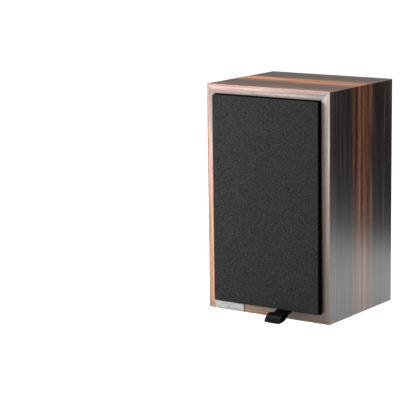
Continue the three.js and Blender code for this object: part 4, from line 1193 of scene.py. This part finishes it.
# %% Tweeter's loops
CORNER_CUT = 25
CORNER_SUNK = 0.8
DISH = [(14.3, 0.9), (14.9, 0.75), (21.6, 0.42), (22.1, 0.9), (22.5, 0.9), (22.9, -0.35), (23.2, -0.6),
        (23.6, -0.65), (27.5, -0.65), (27.9, -0.55), (28.15, -0.3), (28.3, 0.35), (28.8, 0.35), (29.0, 0.0)]
plate_high = extent("tweeter_plate")[1]
tweeter_at = centre("tweeter_plate")
half_plate = half_width("tweeter_plate")
cut_sum = 2 * half_plate - CORNER_CUT
cut_angle = math.degrees(math.atan2(cut_sum - half_plate, half_plate))
quarter = sorted({*range(0, 90, 3)} - {27, 63} | {cut_angle, 90 - cut_angle})
plate_angles = [math.radians(a + 90 * q) for q in range(4) for a in quarter]


def ring_at(radius_at, y):
    """A loop round the dome's axis, from a radius or a function of the angle."""
    x, z = tweeter_at
    radii = [radius_at(a) if callable(radius_at) else radius_at for a in plate_angles]
    return [(x + r * math.cos(a), y, z + r * math.sin(a)) for r, a in zip(radii, plate_angles)]


def square_at(inset):
    """The radius at each angle of a square that lies an inset inside the plate's edge."""
    return lambda a: (half_plate - inset) / max(abs(math.cos(a)), abs(math.sin(a)))


def octagon_at(inset):
    """The same, with the corners of the square cut off."""
    return lambda a: min(square_at(inset)(a), (cut_sum - inset) / (abs(math.cos(a)) + abs(math.sin(a))))


print("plate", round(2 * half_plate), "mm square,", len(plate_angles), "points a loop")

# %% [markdown]
# The face is satin enamel, with a paler casting behind it at the corners. Along each cut, a black
# strip paints the shadow line of the face's edge; it bows outward a little.

# %% Tweeter plate and painted shadow lines
SHADOW_LINE_WIDTH = 1.25
SHADOW_LINE_BOW = 1.3
SHADOW_LINE_STEPS = 12
# Satin enamel: an even grey with a broad, faint highlight.
grey_enamel = stuff("grey_satin_enamel", 0.9, "#888986", "#989995", 0.03, Roughness=0.48,
                    Specular_IOR_Level=0.4)
# Bare casting: pale metal with a soft mirror; it also paints highlights on the face.
casting_and_painted_highlight = stuff("casting_and_painted_highlight", 0.8, "#a2a3a1", "#b9bab8", 0.03, Metallic=0.5, Roughness=0.42)
# Painted shadow line along the cut corners: black and dull.
shadow_line_black = stuff("painted_shadow_line", 0.6, "#0d0d0e", "#19191b", 0.05, Roughness=0.9)

back, sunk = plate_high.y, tweeter_face + CORNER_SUNK
rim = [(4, 0), (0.7, 0), (0.45, 0.08), (0.35, 0.3)]
face = [(DISH[0][0], back - 0.05)] + [(r, tweeter_face + y) for r, y in DISH]
face += [(r, tweeter_face) for r in (32, 37, 42)]
face += [(octagon_at(inset), tweeter_face + y) for inset, y in rim] + [(octagon_at(0.35), back - 0.05)]
slab = [(20, back), (20, tweeter_face + 1.6), (octagon_at(1.5), tweeter_face + 1.6),
        (octagon_at(1.5), sunk), (square_at(0.3), sunk), (square_at(0), sunk + 0.3), (square_at(0), back)]
plate_parts = [(skinned([ring_at(*step) for step in face], closed=True), grey_enamel),
               (skinned([ring_at(*step) for step in slab], closed=True), casting_and_painted_highlight)]

x, z = tweeter_at
# A black strip along each cut corner paints the shadow line of the face's edge.
shadow_line_start = Vector((half_plate - 0.2, cut_sum - half_plate))
shadow_line_end = Vector((cut_sum - half_plate, half_plate - 0.2))
for sx, sz in ((1, 1), (1, -1), (-1, 1), (-1, -1)):
    bow = [shadow_line_start.lerp(shadow_line_end, t / SHADOW_LINE_STEPS)
           + Vector((1, 1)).normalized() * SHADOW_LINE_BOW * math.sin(math.pi * t / SHADOW_LINE_STEPS)
           for t in range(SHADOW_LINE_STEPS + 1)]
    outline = [(x + sx * p[0], z + sz * p[1]) for p in thick(bow, SHADOW_LINE_WIDTH)]
    plate_parts.append((cut_plate(outline, tweeter_face - 0.05, sunk + 0.2, 0.1, 1), shadow_line_black))
print("loops on the plate's face:", len(face), "parts so far:", len(plate_parts))

# %% [markdown]
# Two thin lead-out wires run out from the dome over the plate, at nine and three o'clock, each
# held by drops of glue. They are fine ridges that follow the plate's face, so a helper looks the
# face's depth up in the dish's own profile.

# %% Ridges and drops of glue
RIDGE_STEPS = 24


def plate_y(r):
    """The plate's face at a radius from the dome's axis."""
    if r >= DISH[-1][0]:
        return tweeter_face
    nearest = next(i for i, (radius, _) in enumerate(DISH) if radius >= r)
    (r0, y0), (r1, y1) = DISH[max(nearest - 1, 0)], DISH[max(nearest, 1)]
    return tweeter_face + y0 + (y1 - y0) * (r - r0) / (r1 - r0)


def way_at(angle):
    """The direction at an angle in degrees, in the plane of the baffle."""
    return Vector((math.cos(math.radians(angle)), math.sin(math.radians(angle))))


def ridge(start, end, angle, half, raised):
    """A fine ridge that runs outward over the plate."""
    way = way_at(angle)
    aside = Vector((-way.y, way.x)) * half
    loops = []
    for i in range(RIDGE_STEPS + 1):
        r = start + (end - start) * i / RIDGE_STEPS
        middle, y = Vector(tweeter_at) + way * r, plate_y(r)
        a, b = middle + aside, middle - aside
        loops.append([(a.x, y + 0.1, a.y), (middle.x, y - raised, middle.y), (b.x, y + 0.1, b.y)])
    return skinned(loops)


def blob(r, angle, size, raised):
    """A drop of glue on the plate."""
    y = plate_y(r)
    profile = [(0, y - raised), (size * 0.6, y - raised * 0.75), (size, y + 0.1), (0, y + 0.1)]
    return turned(profile, tuple(Vector(tweeter_at) + r * way_at(angle)), 16)


# %% [markdown]
# The wires are lacquered, so they are dark against the enamel. A pale ring along the raised ring's
# crest, and a pale ridge beside the left wire, are painted highlights.

# %% Lead-out wires
# Lacquered copper lead: nearly black, and as dull as the lacquer.
lacquered_wire = stuff("lacquered_lead_out", 0.5, "#060607", "#101012", 0.02, Roughness=0.5,
                       Specular_IOR_Level=0.3)
# A painted highlight along the raised ring's crest, and a second one beside the left wire.
crest_highlight = turned(arc(27.75, tweeter_face - 0.5, 0.28, 0, 330, 11), tweeter_at)
plate_parts += [(crest_highlight, casting_and_painted_highlight), (ridge(15.4, 42, 0, 0.6, 0.14), lacquered_wire),
                (ridge(15.4, 22, 180, 0.55, 0.12), lacquered_wire),
                (ridge(28.6, 42, 180, 0.3, 0.14), casting_and_painted_highlight),
                (ridge(28.6, 42, 181.4, 0.4, 0.06), lacquered_wire)]
plate_parts += [(ridge(15.2, 22, angle, 0.5, 0.1), lacquered_wire) for angle in (90, 270)]
plate_parts += [(blob(r, angle, size, 0.3), lacquered_wire)
                for r, angle, size in ((19, 0, 0.9), (42, 0, 1.0), (19.5, 178, 1.2), (42.5, 181, 0.7))]
piece("tweeter_face_plate", plate_parts, stands_for=["tweeter_plate"], crease=28)
print("parts on the tweeter's plate:", len(plate_parts))

# %% [markdown]
# The dome is soft cloth, doped so that it holds its shape. It has a dull sheen, and at its rim a
# small roll on which it moves.

# %% Tweeter dome
DOME_RISE = 5.0
DOME_SKIN = 0.4
DOME_ROLL = 0.75
DOME_STEPS = 20
# Doped cloth: dark grey, smooth, and neither matt nor shiny.
doped_cloth = stuff("doped_dome_cloth", 0.6, "#404045", "#505056", 0.03, Roughness=0.6,
                    Specular_IOR_Level=0.3)


def dome_line(radius, rise, rim_y, steps):
    """The profile of a dome, from its crown to just before its rim."""
    turns = [math.pi / 2 * i / steps for i in range(steps)]
    return [(radius * math.sin(t), rim_y - rise * math.cos(t)) for t in turns]


dome_low, dome_high = extent("tweeter_dome")
dome_radius = half_width("tweeter_dome")
rim_radius, rim_y = dome_radius - 2 * DOME_ROLL, dome_low.y + DOME_RISE
outer = dome_line(rim_radius, DOME_RISE, rim_y, DOME_STEPS)
inner = [(max(r - DOME_SKIN, 0), y + DOME_SKIN) for r, y in outer[::-1]]
roll = arc(rim_radius + DOME_ROLL, rim_y + 0.05, DOME_ROLL, 180, 360, 8)
skirt = [(dome_radius, dome_high.y), (dome_radius - DOME_SKIN, dome_high.y),
         (dome_radius - DOME_SKIN, rim_y + 0.4)]
piece("soft_dome", [(turned(outer + roll + skirt + inner, centre("tweeter_dome")), doped_cloth)], "dome",
      ["tweeter_dome"], 60)
print("dome radius", round(dome_radius, 1), "mm, rise", DOME_RISE, "mm")

# %% [markdown]
# ## Woofer
# A rubber roll joins the cone to the basket, so that the cone can travel. The roll is soft: its
# outer edge stays with the basket, and its inner edge goes with the cone. So it rides on no single
# body, and stays where it is drawn.

# %% Surround
WOOFER_SEGMENTS = 128
RUBBER_SKIN = 0.8
ROLL_RADIUS = 5.8
FLANGE_WIDTH = 3.0
# Butyl rubber: black, with the soft highlight of clean rubber.
surround_rubber = stuff("butyl_rubber", 1.2, "#1b1a20", "#242329", 0.03, Roughness=0.37,
                        Specular_IOR_Level=0.6)
surround_low, surround_high = extent("woofer_surround")
woofer_at = centre("woofer_cone")
roll_y = surround_low.y + ROLL_RADIUS + RUBBER_SKIN / 2 - 0.1
inner_y = surround_high.y - RUBBER_SKIN / 2
flange_radius = half_width("woofer_surround")
roll_outer = flange_radius - FLANGE_WIDTH
roll_inner = roll_outer - 2 * ROLL_RADIUS
middle = [(flange_radius, roll_y), (roll_outer + 0.5, roll_y)]
middle += arc(roll_outer - ROLL_RADIUS, roll_y, ROLL_RADIUS, 360, 180, 28)
middle += [(roll_inner - 0.05, roll_y + (inner_y - roll_y) * k / 5) for k in range(1, 5)]
middle += [(roll_inner - 0.5, inner_y), (roll_inner - 2, inner_y)]
shape = turned(thick(middle, RUBBER_SKIN), woofer_at, WOOFER_SEGMENTS)
surround = piece("rubber_surround", [(shape, surround_rubber)], "", ["woofer_surround"],
                 60)
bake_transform(surround)
print("surround from", round(roll_y, 1), "to", round(inner_y, 1), "mm in y")

# %% [markdown]
# The cone is coated paper with a gloss. It flares, so its line is a curve from the lip to the
# neck. A bead of clear glue shows as a lighter ring where the roll meets the cone.

# %% Cone
CONE_SKIN = 0.6
CONE_LIP = 2.0
CONE_FLARE = 1.7
CONE_STEPS = 24
NECK_RADIUS = 13.7
LIP_BEAD = 0.62
BEAD_STEPS = 11
# Coated paper: black, with a clear gloss over a slightly rough sheet.
coated_paper = stuff("coated_paper_cone", 1.0, "#0c0b10", "#131218", 0.02, Roughness=0.32,
                     Specular_IOR_Level=0.3, Coat_Weight=0.2, Coat_Roughness=0.2)
# Dried glue: grey and glossy.
glue = stuff("clear_glue_bead", 0.9, "#58585c", "#6b6b70", 0.05, Roughness=0.3)


def bead(radius, y, size, segments):
    """A ring of glue round the woofer's axis."""
    return turned(arc(radius, y, size, 0, 330, BEAD_STEPS), woofer_at, segments), glue


cone_low, cone_high = extent("woofer_cone")
cone_radius = half_width("woofer_cone")
lip_y = cone_low.y + CONE_SKIN / 2
lip_point = Vector((cone_radius - CONE_LIP, lip_y))
neck_point = Vector((NECK_RADIUS, cone_high.y - 0.2))
bend_point = (lip_point + neck_point) / 2 - Vector((CONE_FLARE, CONE_FLARE))
cone_line = [(cone_radius, lip_y)]
for i in range(CONE_STEPS + 1):
    t = i / CONE_STEPS
    cone_line.append(tuple((1 - t) ** 2 * lip_point + 2 * t * (1 - t) * bend_point + t * t * neck_point))
piece("paper_cone", [(turned(thick(cone_line, CONE_SKIN), woofer_at, WOOFER_SEGMENTS), coated_paper),
                     bead(roll_inner - 2.1, inner_y - 0.35, LIP_BEAD, WOOFER_SEGMENTS)],
      "cone", ["woofer_cone"], 50)
print("cone radius", round(cone_radius, 1), "mm")

# %% [markdown]
# A domed cap keeps dust out of the coil. Its dome ends in a flat ring, which is glued down with a
# second bead.

# %% Dust cap
CAP_RISE = 5.0
CAP_RING = 3.6
CAP_SKIN = 0.5
CAP_BEAD = 0.55
# Coated cloth: black and glossy, smoother than the cone.
cap_cloth = stuff("coated_dust_cap", 0.9, "#16151a", "#1e1d23", 0.02, Roughness=0.28, Coat_Weight=0.5,
                  Coat_Roughness=0.2)
cap_radius = half_width("woofer_dust_cap")
dome_edge = cap_radius - CAP_RING
ring_y = extent("woofer_dust_cap")[0].y + CAP_RISE
front_line = dome_line(dome_edge, CAP_RISE, ring_y, 24)
front_line += [(dome_edge + 0.1, ring_y + 0.1), (dome_edge + 0.9, ring_y + 0.15),
               (cap_radius - 0.3, ring_y - 0.15), (cap_radius, ring_y)]
back_line = [(max(r - 0.2, 0), y + CAP_SKIN) for r, y in front_line[::-1]]
piece("dust_cap", [(turned(front_line + back_line, woofer_at), cap_cloth),
                   bead(cap_radius - 0.1, ring_y - 0.05, CAP_BEAD, FINE)],
      "cone", ["woofer_dust_cap"], 50)
print("cap radius", round(cap_radius, 1), "mm")

# %% [markdown]
# Behind the cone, a corrugated cloth disc centres the coil. It is stiff in its plane and soft
# across it, and like the roll it rides on no single body. The basket itself is a casting in pale
# enamel, and its CAD shape is dressed as it is.

# %% Spider and basket
SPIDER_SKIN = 0.5
SPIDER_WAVE = 0.42
SPIDER_WAVES = 5
SPIDER_STEPS = 60
SPIDER_INNER = 13.1
SPIDER_FLAT = 4
# Pale enamel: the same satin as the tweeter's, a little lighter.
pale_enamel = stuff("pale_grey_enamel", 0.9, "#949592", "#a1a29f", 0.03, Roughness=0.5,
                    Specular_IOR_Level=0.4)
spider_low, spider_high = extent("woofer_spider")
spider_outer = half_width("woofer_spider")
fall = (spider_low.y + SPIDER_WAVE + SPIDER_SKIN / 2, spider_high.y - SPIDER_WAVE - SPIDER_SKIN / 2)
line = []
for i in range(SPIDER_STEPS + 1):
    t = i / SPIDER_STEPS
    r = SPIDER_INNER + (spider_outer - SPIDER_FLAT - SPIDER_INNER) * t
    wave = SPIDER_WAVE * math.sin(2 * math.pi * SPIDER_WAVES * t)
    line.append((r, fall[0] + (fall[1] - fall[0]) * t + wave))
line.append((spider_outer, fall[1]))
spider = piece("corrugated_spider", [(turned(thick(line, SPIDER_SKIN), woofer_at, 72), spider_cloth)], "",
               ["woofer_spider"], 60)
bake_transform(spider)
dress(pale_enamel, "woofer_basket")
print("spider radius", round(spider_outer, 1), "mm, waves", SPIDER_WAVES)

# %% [markdown]
# ## The back and the inside
# Nothing of the back shows from the front, so it follows common practice: a back panel held by
# eight small screws, and a plate with two binding posts. Their screws are the same cross-heads as
# on the front, turned round to face backward.

# %% Back screws
BACK_INSET, BACK_RADIUS = 7, 2.6
TERMINAL_INSET, TERMINAL_RADIUS = 5, 1.9
BACK_PROUD = 0.5


def facing_back(part, back):
    """Turns a part that was drawn facing -Y round, so that it faces +Y at the plane y = back."""
    points, faces = part
    return [(-x, back - y, z) for x, y, z in points], faces


def back_screw(x, z, radius, back):
    """A countersunk cross-head screw in the plane y = back, facing +Y."""
    face = crossed(lambda r: 0.25 * (r / radius) ** 2, radius * 0.6, 0.6)
    return facing_back(head((-x, z), radius, -BACK_PROUD, 0.4, face), back)


def inset_lines(node, inset):
    """Lines that lie an inset inside a node's box: both across, both upright, and its back."""
    low, high = extent(node)
    return (low.x + inset, high.x - inset), (low.z + inset, high.z - inset), high.y


(left_in, right_in), (low_in, high_in), back_y = inset_lines("back_panel", BACK_INSET)
back_middle = (low_in + high_in) / 2
places = [(x, z) for x in (left_in, right_in) for z in (low_in, back_middle, high_in)]
places += [(0, low_in), (0, high_in)]
parts = [(back_screw(x, z, BACK_RADIUS, back_y), plated_steel) for x, z in places]
across, upright, terminal_y = inset_lines("terminal_plate", TERMINAL_INSET)
parts += [(back_screw(x, z, TERMINAL_RADIUS, terminal_y), black_steel) for x in across for z in upright]
piece("back_screws", parts)
print(len(parts), "screws at the back")

# %% [markdown]
# Inside, foam lines the two sides and the roof, in one folded sheet. Cut foam is lumpy, so each
# loop of the skin is pushed in and out a little on its inner side by noise.

# %% Foam lining
FOAM_THICKNESS = 10
FOAM_LUMP = 2.0
FOAM_STEP = 8
LUMP_SIZE = 11


def foam_lining():
    """A folded sheet over the two sides and the roof, lumpy on its inner face."""
    low, high = extent("foam_lining")
    inner, under = high.x - FOAM_THICKNESS, high.z - FOAM_THICKNESS
    route = [(-inner, low.z), (-inner, under), (inner, under), (inner, low.z),
             (high.x, low.z), (high.x, high.z), (low.x, high.z), (low.x, low.z)]
    rows = round((high.y - low.y) / FOAM_STEP)
    loops = []
    for row in range(rows + 1):
        y = low.y + (high.y - low.y) * row / rows
        points = []
        for side, (start, end) in enumerate(zip(route, route[1:] + route[:1])):
            steps = max(round(math.dist(start, end) / FOAM_STEP), 1)
            for i in range(steps):
                x = start[0] + (end[0] - start[0]) * i / steps
                z = start[1] + (end[1] - start[1]) * i / steps
                lump = FOAM_LUMP * abs(noise.noise(Vector((x, y, z)) / LUMP_SIZE))
                if side in (0, 2) and i:
                    x += math.copysign(lump, x)
                if side == 1 and i:
                    z += lump
                points.append((x, y, z))
        loops.append(points)
    return skinned(loops)


foam = piece("foam_lining_cut", [(foam_lining(), acoustic_foam)], stands_for=["foam_lining"],
             crease=60)
print("foam", FOAM_THICKNESS, "mm thick")

# %% [markdown]
# A small circuit board carries a choke, which is copper wire wound on a bobbin. Each turn of the
# winding is a bulge in one profile, so the whole coil is turned at once.

# %% Choke
CHOKE_CORE = 7.5
CHOKE_HOLE = 4.5
CHOKE_FLANGE = 1.6
WIRE_PITCH = 1.5
WIRE_BULGE = [(-0.5, 2.4), (-0.25, 1.95), (0, 1.8), (0.25, 1.95), (0.5, 2.4)]
choke_low, choke_high = extent("inductor")
choke_radius = half_width("inductor")
first, last = choke_low.y + CHOKE_FLANGE, choke_high.y - CHOKE_FLANGE
bobbin = [(CHOKE_HOLE, choke_low.y), (choke_radius, choke_low.y), (choke_radius, first),
          (CHOKE_CORE, first), (CHOKE_CORE, last), (choke_radius, last), (choke_radius, choke_high.y),
          (CHOKE_HOLE, choke_high.y)]
winding = [(CHOKE_CORE, first)]
y = first
while y + WIRE_PITCH <= last:
    winding += [(choke_radius - below, y + WIRE_PITCH / 2 + aside) for aside, below in WIRE_BULGE]
    y += WIRE_PITCH
winding.append((CHOKE_CORE, last))
choke = [(turned(line, centre("inductor"), 48), material)
         for line, material in ((bobbin, black_plastic), (winding, copper_wire))]
piece("wound_choke", choke, stands_for=["inductor"])
print("turns that show:", (len(winding) - 2) // len(WIRE_BULGE))

# %% [markdown]
# The film capacitor is a can with rounded ends and a rolled groove near one of them. It lies on
# its side, so its profile is turned about Y, and then the shape is laid along X.

# %% Capacitor
END_ROUND = 1.2
can_low, can_high = extent("capacitor")
can_radius = (can_high.z - can_low.z) / 2
GROOVE = [(0, 4), (0.5, 4.8), (0.5, 5.6), (0, 6.4)]
flat_end = can_radius - END_ROUND
turns = [(END_ROUND * math.sin(t), END_ROUND * math.cos(t)) for t in (0, 0.4, 0.8, 1.2, 1.57)]
can_line = [(0, can_low.x)] + [(flat_end + s, can_low.x + END_ROUND - c) for s, c in turns]
can_line += [(can_radius - deep, can_low.x + along) for deep, along in GROOVE]
can_line += [(flat_end + c, can_high.x - END_ROUND + s) for s, c in turns] + [(0, can_high.x)]
points, faces = turned(can_line, ((can_low.y + can_high.y) / 2, (can_low.z + can_high.z) / 2), 48)
can = ([(y, x, z) for x, y, z in points], faces)
piece("film_capacitor", [(can, capacitor_case)], stands_for=["capacitor"])
print("capacitor", round(can_high.x - can_low.x), "mm long")
